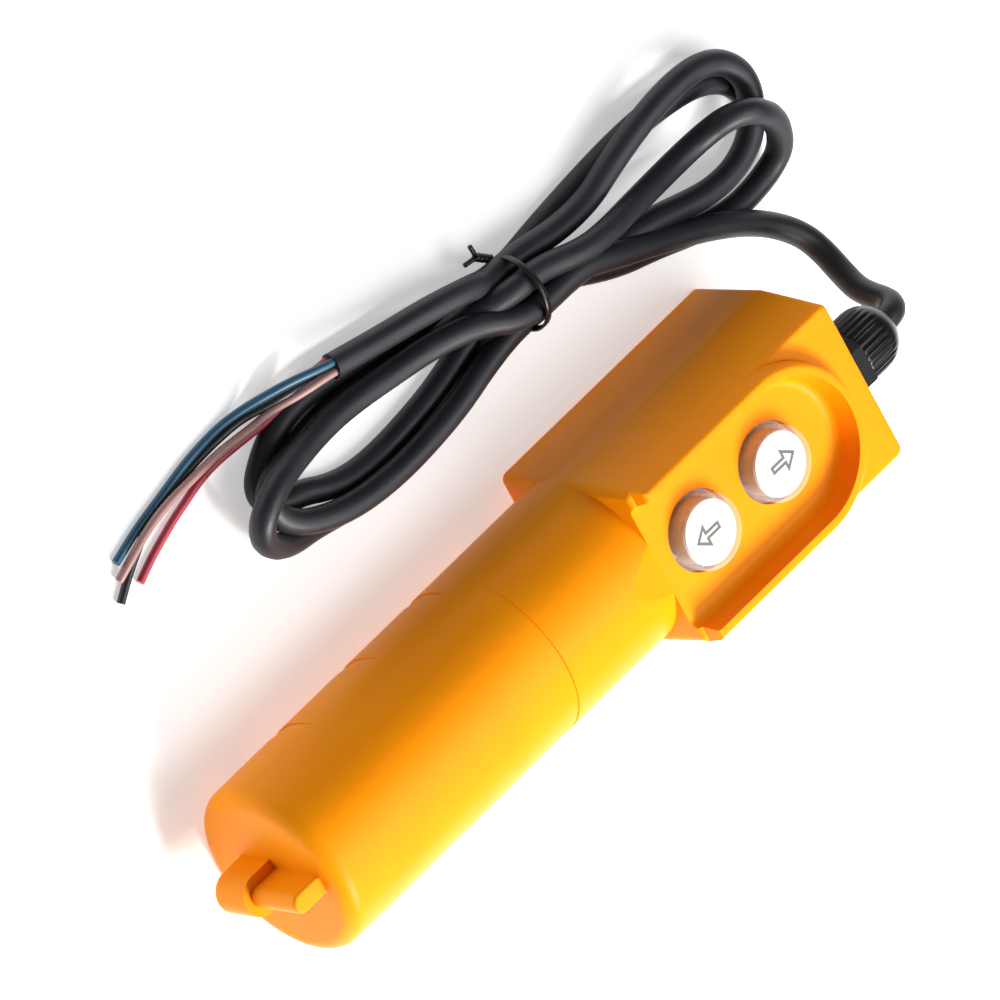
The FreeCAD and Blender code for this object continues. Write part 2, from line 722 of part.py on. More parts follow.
def switch_plate():
    """Make the plate that carries both switches inside the head."""
    sheet_metal = box("plate_blank", ("plate_width", "plate_length", "plate_thickness"),
                      ("-plate_width / 2", f"{BUTTON_MIDDLE} - plate_length / 2", "plate_height"))
    holes = [cylinder(f"plate_hole_{name}", "stem_radius + stem_clearance",
                      "2 * plate_thickness", ("0", y_place, "plate_height - plate_thickness / 2"))
             for name, y_place in BUTTONS.items()]
    for number, (x_place, y_place) in enumerate(boss_places()):
        holes.append(cylinder(f"plate_fixing_{number}", "screw_radius + screw_clearance",
                              "2 * plate_thickness",
                              (x_place, y_place, "plate_height - plate_thickness / 2")))
    for number, (_, y_place) in enumerate(block_screw_places()):
        holes.append(cylinder(f"block_fixing_{number}", "screw_radius + screw_clearance",
                              "2 * plate_thickness",
                              ("0", y_place, "plate_height - plate_thickness / 2")))
    return finish(cut("plate", sheet_metal, fuse("plate_holes", holes)), "switch_plate")


def block_screw_places():
    """Give the places of the screws that hold the contact blocks."""
    return [(name, f"{y_place} {way} block_screw_offset")
            for name, y_place in BUTTONS.items() for way in ("+", "-")]


def small_screws():
    """Make the screws of the plate, the contact blocks and the terminals."""
    plate = [screw(f"plate_screw_{number}", "screw_radius", "plate_screw_length",
                   "screw_head_radius", "screw_head_height", (x_place, y_place, "plate_height"))
             for number, (x_place, y_place) in enumerate(boss_places())]
    finish(group("plate_screw_set", plate), "plate_screws")
    blocks = [screw(f"block_screw_{number}", "screw_radius", "block_screw_length",
                    "screw_head_radius", "screw_head_height", ("0", y_place, PLATE_TOP),
                    UPSIDE_DOWN)
              for number, (_, y_place) in enumerate(block_screw_places())]
    finish(group("block_screw_set", blocks), "block_screws")
    for name, y_place in BUTTONS.items():
        pair = [screw(f"{name}_terminal_{side}", "screw_radius",
                      f"{SLOT_FLOOR} - {BLOCK_LOW}", "screw_head_radius", "screw_head_height",
                      (f"{sign}terminal_offset", y_place, BLOCK_LOW))
                for side, sign in (("right", ""), ("left", "-"))]
        finish(group(f"{name}_terminal_pair", pair), f"terminal_screws_{name}")


def contact_block(name, y_place):
    """Make one contact block with its slot, its fixed contacts and its screw holes."""
    blank = box(f"{name}_block_blank", ("block_width", "block_length", "block_depth"),
                ("-block_width / 2", f"{y_place} - block_length / 2", BLOCK_LOW))
    holes = [box(f"{name}_slot", ("slot_width", "slot_length", "slot_depth"),
                 ("-slot_width / 2", f"{y_place} - slot_length / 2", SLOT_FLOOR))]
    for side, sign in (("right", ""), ("left", "-")):
        holes.append(cylinder(f"{name}_terminal_hole_{side}", "screw_radius + screw_clearance",
                              "block_depth - slot_depth",
                              (f"{sign}terminal_offset", y_place, BLOCK_LOW)))
    for way, sign in (("near", "+"), ("far", "-")):
        holes.append(cylinder(f"{name}_fixing_hole_{way}", "screw_radius + screw_clearance",
                              "block_screw_length",
                              ("0", f"{y_place} {sign} block_screw_offset",
                               "plate_height - block_screw_length")))
    finish(cut(f"{name}_block", blank, fuse(f"{name}_block_holes", holes)),
           f"contact_block_{name}")
    strips = [box(f"{name}_contact_{side}", ("contact_length", "bridge_width",
                                             "contact_thickness"),
                  (x_low, f"{y_place} - bridge_width / 2", SLOT_FLOOR))
              for side, x_low in (("right", "slot_width / 2 - contact_length"),
                                  ("left", "-slot_width / 2"))]
    finish(group(f"{name}_contact_pair", strips), f"fixed_contacts_{name}")


def button_guide(name, y_place):
    """Make the sleeve that guides one button between the plate and the shell."""
    inner = "(flange_radius + guide_gap)"
    sleeve = cylinder(f"{name}_sleeve", f"{inner} + guide_wall", f"{FLANGE_TOP} - {PLATE_TOP}",
                      ("0", y_place, PLATE_TOP))
    bore = cylinder(f"{name}_sleeve_bore", inner, f"{FLANGE_TOP} - {PLATE_TOP}",
                    ("0", y_place, PLATE_TOP))
    return finish(cut(f"{name}_guide", sleeve, bore), f"button_guide_{name}")


def button_cap(name, y_place):
    """Make the clear cap: a cup with a rounded top edge."""
    height = f"({CAP_TOP} - {FLANGE_TOP})"
    solid = cylinder(f"{name}_cap_solid", "cap_radius", height, ("0", y_place, FLANGE_TOP))
    doc.recompute()
    top = reach(solid.Shape, "z", max)
    rounded = fillet(f"{name}_cap_rounded", solid, "cap_round",
                     lambda edge: ends_at(edge, "z", top))
    hollow = cylinder(f"{name}_cap_hollow", "cap_radius - cap_wall", f"{height} - cap_wall",
                      ("0", y_place, FLANGE_TOP))
    return finish(cut(f"{name}_cap", rounded, hollow), f"button_cap_{name}")


def legend_disc(name, y_place):
    """Make the white disc under the cap that carries the arrow."""
    rim = cylinder(f"{name}_legend_rim", "legend_radius", "legend_thickness",
                   ("0", y_place, LEGEND_LOW))
    face = cone(f"{name}_legend_face", "legend_radius", "legend_face_radius",
                "legend_thickness", ("0", y_place, f"{LEGEND_LOW} + legend_thickness"))
    return finish(fuse(f"{name}_legend", [rim, face]), f"legend_disc_{name}")


def plunger(name, y_place):
    """Make the plunger that carries the cap and pushes the contact bridge."""
    pieces = [cylinder(f"{name}_plunger_head", "legend_radius", f"{LEGEND_LOW} - {FLANGE_TOP}",
                       ("0", y_place, FLANGE_TOP)),
              cylinder(f"{name}_plunger_flange", "flange_radius", "flange_thickness",
                       ("0", y_place, FLANGE_LOW)),
              cylinder(f"{name}_plunger_stem", "stem_radius", f"{FLANGE_LOW} - {BRIDGE_TOP}",
                       ("0", y_place, BRIDGE_TOP))]
    return finish(fuse(f"{name}_plunger", pieces), f"plunger_{name}")


def contact_bridge(name, y_place):
    """Make the brass bridge that joins the two fixed contacts."""
    bar = box(f"{name}_bridge_bar", ("bridge_length", "bridge_width", "bridge_thickness"),
              ("-bridge_length / 2", f"{y_place} - bridge_width / 2", BRIDGE_LOW))
    return finish(bar, f"contact_bridge_{name}")


def return_spring(name):
    """Wind the return spring between the plate and the plunger's flange."""
    seat = doc.getObject(f"{name}_sleeve").Placement.Base
    flange = doc.getObject(f"{name}_plunger_flange").Placement.Base
    radius, wire = SIZES["spring_radius"], SIZES["spring_wire"]
    steps = int(SIZES["spring_turns"]) * SPRING_SIDES
    rise = flange.z - seat.z - 2 * wire
    points = [seat + Vector(radius * math.cos(turn), radius * math.sin(turn),
                            wire + rise * number / steps)
              for number in range(steps + 1)
              for turn in [2 * math.pi * number / SPRING_SIDES]]
    along = (points[1] - points[0]).normalize()
    across = Vector(0, 0, 1).cross(along).normalize()
    over = along.cross(across)
    section = [points[0] + (across * math.cos(angle) + over * math.sin(angle)) * wire
               for angle in [math.pi * side / 3 for side in range(7)]]
    shape = Part.makePolygon(points).makePipeShell([Part.makePolygon(section)], True, False, 1)
    return feature(shape, f"return_spring_{name}")


def on_gland_axis(y_place):
    """Give a place on the gland's axis."""
    return "0", y_place, GLAND_HEIGHT


def gland_pieces():
    """Make the cable gland: body, washer, locknut, seal and dome nut."""
    cable_hole = "cable_radius + gland_play"
    seal_room = "gland_neck_radius - gland_wall"

    washer = cut("washer_ring",
                 cylinder("washer_disc", "washer_radius", "washer_thickness",
                          on_gland_axis(GLAND_SEAT), ALONG_Y),
                 cylinder("washer_hole", "gland_thread_radius + gland_play",
                          "washer_thickness", on_gland_axis(GLAND_SEAT), ALONG_Y))
    finish(washer, "gland_washer")

    solid = fuse("gland_solid", [
        cylinder("gland_thread", "gland_thread_radius", "gland_thread_length + washer_thickness",
                 on_gland_axis(f"{GLAND_SEAT} - gland_thread_length"), ALONG_Y),
        prism("gland_hexagon", "gland_hex", "gland_hex_length", on_gland_axis(GLAND_HEX_LOW), ALONG_Y),
        cylinder("gland_neck", "gland_neck_radius", "gland_neck_length",
                 on_gland_axis(GLAND_HEX_TOP), ALONG_Y)])
    bores = fuse("gland_bores", [
        cylinder("gland_through", cable_hole, "gland_thread_length + gland_reach",
                 on_gland_axis(f"{GLAND_SEAT} - gland_thread_length"), ALONG_Y),
        cylinder("gland_seal_room", seal_room, "gland_neck_length",
                 on_gland_axis(GLAND_HEX_TOP), ALONG_Y)])
    finish(cut("gland_turned", solid, bores), "gland_body")

    locknut = cut("locknut_ring",
                  prism("locknut_hexagon", "locknut_hex", "locknut_length",
                        on_gland_axis(f"{GLAND_INNER} - locknut_length"), ALONG_Y),
                  cylinder("locknut_hole", "gland_thread_radius + gland_play / 2",
                           "locknut_length", on_gland_axis(f"{GLAND_INNER} - locknut_length"),
                           ALONG_Y))
    finish(locknut, "gland_locknut")

    seal = cut("seal_ring",
               cylinder("seal_sleeve", f"{seal_room} - gland_play / 2", "gland_neck_length",
                        on_gland_axis(GLAND_HEX_TOP), ALONG_Y),
               cylinder("seal_hole", "cable_radius + gland_play / 2", "gland_neck_length",
                        on_gland_axis(GLAND_HEX_TOP), ALONG_Y))
    finish(seal, "gland_seal")
    dome_nut(cable_hole)


def dome_nut(cable_hole):
    """Make the ribbed dome nut that closes the gland round the cable."""
    length = f"({GLAND_TIP} - {GLAND_HEX_TOP} - gland_play)"
    start = f"({GLAND_HEX_TOP} + gland_play)"
    barrel = cylinder("nut_barrel", "nut_radius", length, on_gland_axis(start), ALONG_Y)
    ball = doc.addObject("Part::Sphere", "nut_ball")
    bind(ball, Radius="nut_dome")
    place(ball, on_gland_axis(f"{GLAND_TIP} - nut_ball_depth"))
    dome = doc.addObject("Part::Common", "nut_dome_form")
    dome.Base, dome.Tool = barrel, ball
    lower = cylinder("nut_skirt", "nut_radius", f"{length} - nut_ball_depth",
                     on_gland_axis(start), ALONG_Y)
    form = fuse("nut_form", [dome, lower])
    room = "gland_neck_length + gland_play"
    taper = f"{length} - {room} - nut_wall"
    tools = [cylinder("nut_room", "gland_neck_radius + gland_play", room, on_gland_axis(start),
                      ALONG_Y),
             cylinder("nut_hole", cable_hole, length, on_gland_axis(start), ALONG_Y),
             cone("nut_taper", "gland_neck_radius + gland_play", cable_hole, taper,
                  on_gland_axis(f"{start} + {room}"), ALONG_Y)]
    count = int(SIZES["nut_rib_count"])
    for number in range(count):
        angle = 360 * number / count
        groove = cylinder(f"nut_groove_{number}", "nut_rib_radius", "nut_rib_length",
                          (f"nut_radius * cos({angle})", f"{start} + nut_rib_start",
                           f"{GLAND_HEIGHT} + nut_radius * sin({angle})"), ALONG_Y)
        tools.append(groove)
    finish(cut("nut_turned", form, fuse("nut_tools", tools)), "gland_nut")


def rounded_path(points, label):
    """Join straight runs by tangent arcs as large as the runs allow."""
    edges, start, radii = [], points[0], []
    for before, corner, after in zip(points, points[1:], points[2:]):
        back, ahead = (before - corner), (after - corner)
        turn = math.pi - back.getAngle(ahead)
        tangent = PATH_SHARE * min(back.Length, ahead.Length)
        radii.append(tangent / math.tan(turn / 2))
        first = corner + back.normalize() * tangent
        last = corner + ahead.normalize() * tangent
        toward = (first + last) * 0.5 - corner
        depth = radii[-1] / math.cos(turn / 2) - radii[-1]
        middle = corner + toward.normalize() * depth
        edges.append(Part.LineSegment(start, first).toShape())
        edges.append(Part.Arc(first, middle, last).toShape())
        start = last
    edges.append(Part.LineSegment(start, points[-1]).toShape())
    wire = Part.Wire(edges)
    smallest = min(radii) if radii else 0
    print(f"{label}: length {wire.Length:.1f}, radii from {smallest:.1f} mm")
    return wire


def tube(label, points, radius):
    """Sweep a round section along a rounded path."""
    wire = rounded_path(points, label)
    start, direction = points[0], (points[1] - points[0]).normalize()
    ring = Part.Wire([Part.Circle(start, direction, radius).toShape()])
    solid = wire.makePipeShell([ring], True, False)
    expected = math.pi * radius ** 2 * wire.Length
    print(f"{label}: volume is {solid.Volume / expected:.4f} of section times length")
    return solid


def feature(shape, node):
    """Keep a shape made from the sheet's numbers as a sub-part."""
    item = doc.addObject("Part::Feature", f"{node}_shape")
    item.Shape = shape
    item.Placement = Placement()
    return finish(item, node)


def inner_cable():
    """Make the stub of cable held in the gland and the cores that reach the terminals."""
    stub = cylinder("cable_stub", "cable_radius", f"{GLAND_TIP} - {CABLE_INNER_END}",
                    on_gland_axis(CABLE_INNER_END), ALONG_Y)
    finish(stub, "cable_entry")
    doc.recompute()
    start = stub.Placement.Base
    cores = []
    for name, ((across, rise), steps) in INNER_ROUTES.items():
        head = doc.getObject(f"{name}_terminal_right").Placement.Base
        reach_back = SIZES["screw_head_radius"] + SIZES["contact_gap"]
        for side in (1, -1):
            points = [start + Vector(side * across, 0, rise),
                      start + Vector(side * across, steps[0][1] / 2, rise)]
            points += [start + Vector(side * x, y, z) for x, y, z in steps[1:]]
            points.append(Vector(side * head.x, head.y + reach_back, head.z))
            cores.append(tube(f"inner core {name} {side}", points, SIZES["core_radius"]))
    feature(Part.makeCompound(cores), "inner_cores")


def cable_lead():
    """Make the free cable from the gland to the hank, as runs and tangent arcs."""
    stub = doc.getObject("cable_stub")
    exit_point = stub.Placement.Base + Vector(0, stub.Height.Value, 0)
    points = [exit_point] + [Vector(*place_at) for place_at in LEAD_ROUTE]
    feature(tube("cable lead", points, SIZES["cable_radius"]), "cable_lead")


def lobe(centre, radius, tie, tie_radius, height):
    """Build one lobe of the hank: two circles joined by their common tangents."""
    between = tie - centre
    distance = between.Length
    lean = math.acos((radius - tie_radius) / distance)
    heading = math.atan2(between.y, between.x)
    points = []
    for hub, size, side in ((centre, radius, 1), (tie, tie_radius, 1),
                            (tie, tie_radius, -1), (centre, radius, -1)):
        angle = heading + side * lean
        points.append(hub + Vector(math.cos(angle), math.sin(angle), 0) * size)
    near = between.normalize()
    edges = [Part.LineSegment(points[0], points[1]).toShape(),
             Part.Arc(points[1], tie + near * tie_radius, points[2]).toShape(),
             Part.LineSegment(points[2], points[3]).toShape(),
             Part.Arc(points[3], centre - near * radius, points[0]).toShape()]
    return Part.Face(Part.Wire(edges)).extrude(Vector(0, 0, height))


def cable_hank():
    """Make the closed outer form of the tied hank: two lobes and a round waist."""
    tie = Vector(*HANK_TIE)
    height = SIZES["hank_height"]
    lobes = [lobe(Vector(*centre), radius, tie, HANK_NECK, height)
             for centre, radius in HANK_LOBES]
    along = Vector(*HANK_LOBES[0][0]) - Vector(*HANK_LOBES[1][0])
    along.normalize()
    centre = tie + Vector(0, 0, SIZES["hank_waist_radius"] + 2 * SIZES["tie_wire"] + 2 * NEAR)
    waist = Part.makeCylinder(SIZES["hank_waist_radius"], HANK_WAIST, centre
                              - along * (HANK_WAIST / 2), along)
    slot = HANK_WAIST / 2
    span = 2 * height + 2 * HANK_WAIST
    ring_gap = Part.makeBox(span, slot, span, Vector(-span / 2, -slot / 2, -slot))
    ring_gap.rotate(Vector(), Vector(0, 0, 1), math.degrees(math.atan2(along.y, along.x)) - 90)
    ring_gap.translate(tie)
    jacket_start, jacket_end = Vector(*JACKET_START), Vector(*JACKET_END)
    jacket = Part.makeCylinder(SIZES["cable_radius"], jacket_start.distanceToPoint(jacket_end),
                               jacket_start, jacket_end - jacket_start)
    shape = lobes[0].fuse(lobes[1]).cut(ring_gap).fuse(waist).fuse(jacket).removeSplitter()
    feature(shape.Solids[0], "cable_hank")


def cable_tie():
    """Make the thin twist tie round the hank's waist with its twisted tail."""
    tie = Vector(*HANK_TIE)
    along = Vector(*HANK_LOBES[0][0]) - Vector(*HANK_LOBES[1][0])
    along.normalize()
    wire = SIZES["tie_wire"]
    ring_radius = SIZES["hank_waist_radius"] + wire + NEAR
    centre = tie + Vector(0, 0, ring_radius + wire + NEAR)
    ring = Part.makeTorus(ring_radius, wire, centre, along)
    outward = Vector(-along.y, along.x, 0) * math.cos(TAIL_RISE) + Vector(0, 0, math.sin(TAIL_RISE))
    tail = Part.makeCylinder(2 * wire, SIZES["tie_tail"],
                             centre + outward * ring_radius, outward)
    feature(ring.fuse(tail).removeSplitter().Solids[0], "cable_tie")


def free_cores():
    """Make the four bare-cut cores that fan out of the jacket's end."""
    jacket_end = Vector(*JACKET_END)
    ahead = (jacket_end - Vector(*JACKET_START)).normalize()
    spread = SIZES["core_radius"] + SIZES["core_gap"]
    across = Vector(-ahead.y, ahead.x, 0)
    for node, ((side, rise), route) in CORE_ROUTES.items():
        start = jacket_end + across * side * spread + Vector(0, 0, rise * spread)
        points = [start, start + ahead * CORE_START]
        points += [Vector(*place_at) for place_at in route]
        feature(tube(node, points, SIZES["core_radius"]), node)


def check_openings():
    """Check that every opening is really cut out of its shell."""
    for side in ("front", "rear"):
        shell = doc.getObject(f"{side}_shell").Shape
        tools = doc.getObject(f"{side}_openings").Shapes
        tools += [doc.getObject("well_form")] if side == "front" else []
        filled = [tool.Name for tool in tools if shell.common(tool.Shape).Volume > NEAR]
        if filled:
            raise RuntimeError(f"openings that stayed filled: {filled}")


def check_and_write():
    """Check every object and write each sub-part to its own file."""
    doc.recompute()
    check_openings()
    faulty = [item.Name for item in doc.Objects
              if any(word in item.State for word in ("Invalid", "Error"))]
    if faulty:
        raise RuntimeError(f"objects that failed to build: {faulty}")
    os.makedirs(PARTS_FOLDER, exist_ok=True)
    for node, item in finished.items():
        shape = item.Shape
        if shape.isNull() or not shape.isValid() or not shape.Solids:
            raise RuntimeError(f"{node} has no valid solid")
        shape.exportStep(os.path.join(PARTS_FOLDER, f"{node}.step"))
    print(f"{len(finished)} sub-parts written")


def build():
    """Build every sub-part in the order in which it is put together."""
    fill_sheet()
    housing_front()
    housing_rear()
    case_screws()
    switch_plate()
    small_screws()
    for name, y_place in BUTTONS.items():
        contact_block(name, y_place)
        button_guide(name, y_place)
        plunger(name, y_place)
        legend_disc(name, y_place)
        button_cap(name, y_place)
        contact_bridge(name, y_place)
    doc.recompute()
    for name in BUTTONS:
        return_spring(name)
    gland_pieces()
    inner_cable()
    cable_lead()
    cable_hank()
    cable_tie()
    free_cores()
    check_and_write()


build()
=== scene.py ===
"""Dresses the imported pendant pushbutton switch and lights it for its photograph.

The pendant lies on its back beside its own tied cable. Lengths are in metres,
in the frame of the CAD model, and angles are in radians.
"""
from __future__ import annotations

import logging
import math
from collections.abc import Callable, Mapping, Sequence
from dataclasses import dataclass, field
from enum import Enum

import bpy
from mathutils import Matrix, Vector

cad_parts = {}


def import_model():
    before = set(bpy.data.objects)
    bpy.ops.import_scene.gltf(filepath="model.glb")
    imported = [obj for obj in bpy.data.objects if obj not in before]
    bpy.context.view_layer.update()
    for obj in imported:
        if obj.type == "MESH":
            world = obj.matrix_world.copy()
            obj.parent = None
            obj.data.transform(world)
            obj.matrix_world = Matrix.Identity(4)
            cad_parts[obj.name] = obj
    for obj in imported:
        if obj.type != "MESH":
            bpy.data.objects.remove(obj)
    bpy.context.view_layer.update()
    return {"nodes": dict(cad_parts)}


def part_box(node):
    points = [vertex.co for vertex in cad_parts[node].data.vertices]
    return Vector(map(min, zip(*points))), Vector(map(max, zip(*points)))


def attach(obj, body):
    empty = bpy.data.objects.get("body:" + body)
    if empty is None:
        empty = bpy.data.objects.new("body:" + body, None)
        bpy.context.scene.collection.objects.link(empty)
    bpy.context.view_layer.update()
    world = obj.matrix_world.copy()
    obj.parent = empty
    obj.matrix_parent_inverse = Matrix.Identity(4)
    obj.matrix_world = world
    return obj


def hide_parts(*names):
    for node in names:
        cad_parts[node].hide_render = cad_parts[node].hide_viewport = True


LOG = logging.getLogger("pendant")

Point = tuple[float, float, float]
Colour = tuple[float, float, float]
Profile = Sequence[tuple[float, float]]


class Body(Enum):
    """The CAD bodies that pieces ride on."""

    PENDANT = "pendant"
    BUTTON_UP = "button_up"
    BUTTON_DOWN = "button_down"


class Signal:
    """One output of a material's nodes, on which arithmetic adds Math nodes."""

    def __init__(self, graph: Graph, socket: bpy.types.NodeSocket) -> None:
        """Wrap a socket.

        Args:
            graph: The node graph that the socket belongs to.
            socket: The output socket.
        """
        self.graph = graph
        self.socket = socket

    def __add__(self, other: Signal | float) -> Signal:
        """Return self + other."""
        return self.graph.calculate("ADD", self, other)

    def __radd__(self, other: float) -> Signal:
        """Return other + self."""
        return self.graph.calculate("ADD", other, self)

    def __sub__(self, other: Signal | float) -> Signal:
        """Return self - other."""
        return self.graph.calculate("SUBTRACT", self, other)

    def __rsub__(self, other: float) -> Signal:
        """Return other - self."""
        return self.graph.calculate("SUBTRACT", other, self)

    def __mul__(self, other: Signal | float) -> Signal:
        """Return self * other."""
        return self.graph.calculate("MULTIPLY", self, other)

    def __rmul__(self, other: float) -> Signal:
        """Return other * self."""
        return self.graph.calculate("MULTIPLY", other, self)


class Graph:
    """The node graph of one material with a Principled shader."""

    def __init__(self, name: str) -> None:
        """Make a new material with its shader and its output.

        Args:
            name: The material's name.
        """
        self.material = bpy.data.materials.new(name)
        self.material.use_nodes = True
        self.tree = self.material.node_tree
        self.tree.nodes.clear()
        output = self.tree.nodes.new("ShaderNodeOutputMaterial")
        self.shader = self.tree.nodes.new("ShaderNodeBsdfPrincipled")
        self.tree.links.new(self.shader.outputs[0], output.inputs["Surface"])

    def node(
        self,
        kind: str,
        settings: Mapping[str, object] | None = None,
        values: Mapping[str | int, object] | None = None,
        output: str | int = 0,
    ) -> Signal:
        """Make a node of any type.

        Args:
            kind: The node's Blender type.
            settings: Properties that are set first.
            values: Numbers, colours or signals for its sockets, by name or number.
            output: The name or number of the output that is wanted.

        Returns:
            The wanted output.
        """
        made = self.tree.nodes.new(kind)
        for key, setting in (settings or {}).items():
            setattr(made, key, setting)
        for key, value in (values or {}).items():
            self.feed(made.inputs[key], value)
        return Signal(self, made.outputs[output])

    def feed(self, socket: bpy.types.NodeSocket, value: object) -> None:
        """Link a signal to a socket or set the socket's own value.

        Args:
            socket: The input socket.
            value: A signal, a number, or a colour or vector.
        """
        if isinstance(value, Signal):
            self.tree.links.new(value.socket, socket)
        elif isinstance(value, tuple) and socket.type == "RGBA":
            socket.default_value = (*value, 1.0)
        else:
            socket.default_value = value

    def calculate(self, operation: str, first: Signal | float, second: Signal | float) -> Signal:
        """Work out two numbers or signals with a Math node.

        Args:
            operation: The node's operation.
            first: The first number or signal.
            second: The second number or signal.

        Returns:
            The result.
        """
        return self.node("ShaderNodeMath", {"operation": operation}, {0: first, 1: second})

    def blend(self, share: Signal | float, low: object, high: object) -> Signal:
        """Mix two colours.

        Args:
            share: How much of the second colour shows, from 0 to 1.
            low: The first colour, or a signal of one.
            high: The second colour, or a signal of one.

        Returns:
            The mixed colour.
        """
        return self.node("ShaderNodeMix", {"data_type": "RGBA"}, {0: share, 6: low, 7: high}, 2)

    def place(self) -> Signal:
        """Return the place on the object in metres, in the frame of the model."""
        return self.node("ShaderNodeTexCoord", output="Object")

    def noise(self, scale: float, detail: float = 2.0, stretch: Point = (1.0, 1.0, 1.0)) -> Signal:
        """Make soft noise over the object.

        Args:
            scale: Cells a metre.
            detail: Levels of finer noise.
            stretch: Factors of the scale along the three axes.

        Returns:
            The noise, about 0.5 on average.
        """
        spread = self.node(
            "ShaderNodeVectorMath", {"operation": "MULTIPLY"}, {0: self.place(), 1: stretch}
        )
        return self.node(
            "ShaderNodeTexNoise", None, {"Vector": spread, "Scale": scale, "Detail": detail}
        )

    def ramp(self, value: Signal, low: float, high: float) -> Signal:
        """Measure how far a value lies between two limits.

        Args:
            value: The value.
            low: Where the result is 0, and below.
            high: Where the result is 1, and above.

        Returns:
            The share, from 0 to 1.
        """
        return self.node(
            "ShaderNodeMapRange", {"clamp": True},
            {"Value": value, "From Min": low, "From Max": high},
        )

    def bump(self, height: Signal, depth: float) -> Signal:
        """Return normals tilted by a height.

        Args:
            height: The height, from 0 to 1.
            depth: The real depth of a full step of it.

        Returns:
            The tilted normals.
        """
        return self.node("ShaderNodeBump", None, {"Height": height, "Distance": depth})

    def finish(self, **values: object) -> bpy.types.Material:
        """Feed the shader's sockets, whose names have _ in place of spaces.

        Args:
            values: Values or signals by socket.

        Returns:
            The finished material.
        """
        for name, value in values.items():
            self.feed(self.shader.inputs[name.replace("_", " ")], value)
        return self.material


@dataclass(frozen=True)
class MouldedPlastic:
    """Semi-gloss moulded plastic with a faint grain and soft flow marks.

    The scales are in cells a metre, and the glow is light that enters and comes out again.
    """

    name: str
    colour: Colour
    deep: Colour
    roughness: float = 0.34
    grain: float = 900.0
    depth: float = 0.00003
    shine: float = 0.4
    glow: float = 0.0
    glow_reach: Colour = (0.004, 0.0016, 0.0003)
    cloud_scale: float = 26.0
    flow_scale: float = 60.0
    scuff_scale: float = 180.0
    flow_stretch: Point = (1.0, 0.25, 1.0)
    scuff_stretch: Point = (1.0, 0.3, 1.0)

    def make(self) -> bpy.types.Material:
        """Return the material."""
        graph = Graph(self.name)
        clouds = graph.ramp(graph.noise(self.cloud_scale, 3.0), 0.35, 0.7)
        flow = graph.noise(self.flow_scale, 2.0, self.flow_stretch)
        fine = graph.noise(self.grain, 2.0)
        scuffs = graph.ramp(graph.noise(self.scuff_scale, 4.0, self.scuff_stretch), 0.58, 0.8)
        return graph.finish(
            Base_Color=graph.blend(clouds * 0.55, self.colour, self.deep),
            Roughness=self.roughness + 0.1 * (flow - 0.5) + 0.1 * scuffs,
            Normal=graph.bump(fine * 0.6 + flow * 0.4, self.depth),
            Specular_IOR_Level=self.shine,
            Subsurface_Weight=self.glow,
            Subsurface_Radius=self.glow_reach,
            Subsurface_Scale=1.0,
            IOR=1.5,
        )


@dataclass(frozen=True)
class ClearPlastic:
    """Clear acrylic that shows more of itself towards its edges."""

    name: str
    colour: Colour = (0.93, 0.93, 0.9)
    hazy: Colour = (0.9, 0.88, 0.84)
    roughness: float = 0.12
    face: float = 0.05
    edge: float = 0.42
    haze_scale: float = 320.0
    edge_blend: float = 0.35

    def make(self) -> bpy.types.Material:
        """Return the material."""
        graph = Graph(self.name)
        haze = graph.ramp(graph.noise(self.haze_scale, 3.0), 0.45, 0.8)
        slant = graph.node("ShaderNodeLayerWeight", None, {"Blend": self.edge_blend}, "Facing")
        return graph.finish(
            Base_Color=graph.blend(haze * 0.3, self.colour, self.hazy),
            Roughness=self.roughness + 0.06 * haze,
            Alpha=self.face + self.edge * slant + 0.02 * haze,
            Coat_Weight=0.4,
            Coat_Roughness=0.12,
            IOR=1.49,
        )


@dataclass(frozen=True)
class Rubber:
    """Extruded cable rubber, with drawn streaks and a dry bloom."""

    name: str
    colour: Colour
    bloom: Colour
    roughness: float = 0.52
    depth: float = 0.00006
    dust_scale: float = 70.0
    speck_scale: float = 1400.0
    streak_scale: float = 420.0
    streak_stretch: Point = (1.0, 0.12, 1.0)

    def make(self) -> bpy.types.Material:
        """Return the material."""
        graph = Graph(self.name)
        dust = graph.ramp(graph.noise(self.dust_scale, 4.0), 0.42, 0.75)
        speck = graph.noise(self.speck_scale, 2.0)
        streaks = graph.noise(self.streak_scale, 2.0, self.streak_stretch)
        return graph.finish(
            Base_Color=graph.blend(dust * 0.6 + 0.15 * streaks, self.colour, self.bloom),
            Roughness=self.roughness + 0.14 * (dust - 0.5),
            Normal=graph.bump(speck * 0.7 + streaks * 0.3, self.depth),
            Specular_IOR_Level=0.35,
            IOR=1.5,
        )


@dataclass(frozen=True)
class Metal:
    """Plated or drawn metal with fine scratches and stains."""

    name: str
    colour: Colour
    stain: Colour
    roughness: float = 0.32
    depth: float = 0.00002
    scratch_scale: float = 900.0
    stain_scale: float = 150.0
    scratch_stretch: Point = (1.0, 0.08, 1.0)

    def make(self) -> bpy.types.Material:
        """Return the material."""
        graph = Graph(self.name)
        scratches = graph.noise(self.scratch_scale, 3.0, self.scratch_stretch)
        stains = graph.ramp(graph.noise(self.stain_scale, 4.0), 0.5, 0.75)
        return graph.finish(
            Base_Color=graph.blend(stains * 0.6, self.colour, self.stain),
            Metallic=1.0,
            Roughness=self.roughness + 0.16 * scratches + 0.12 * stains,
            Normal=graph.bump(scratches, self.depth),
        )


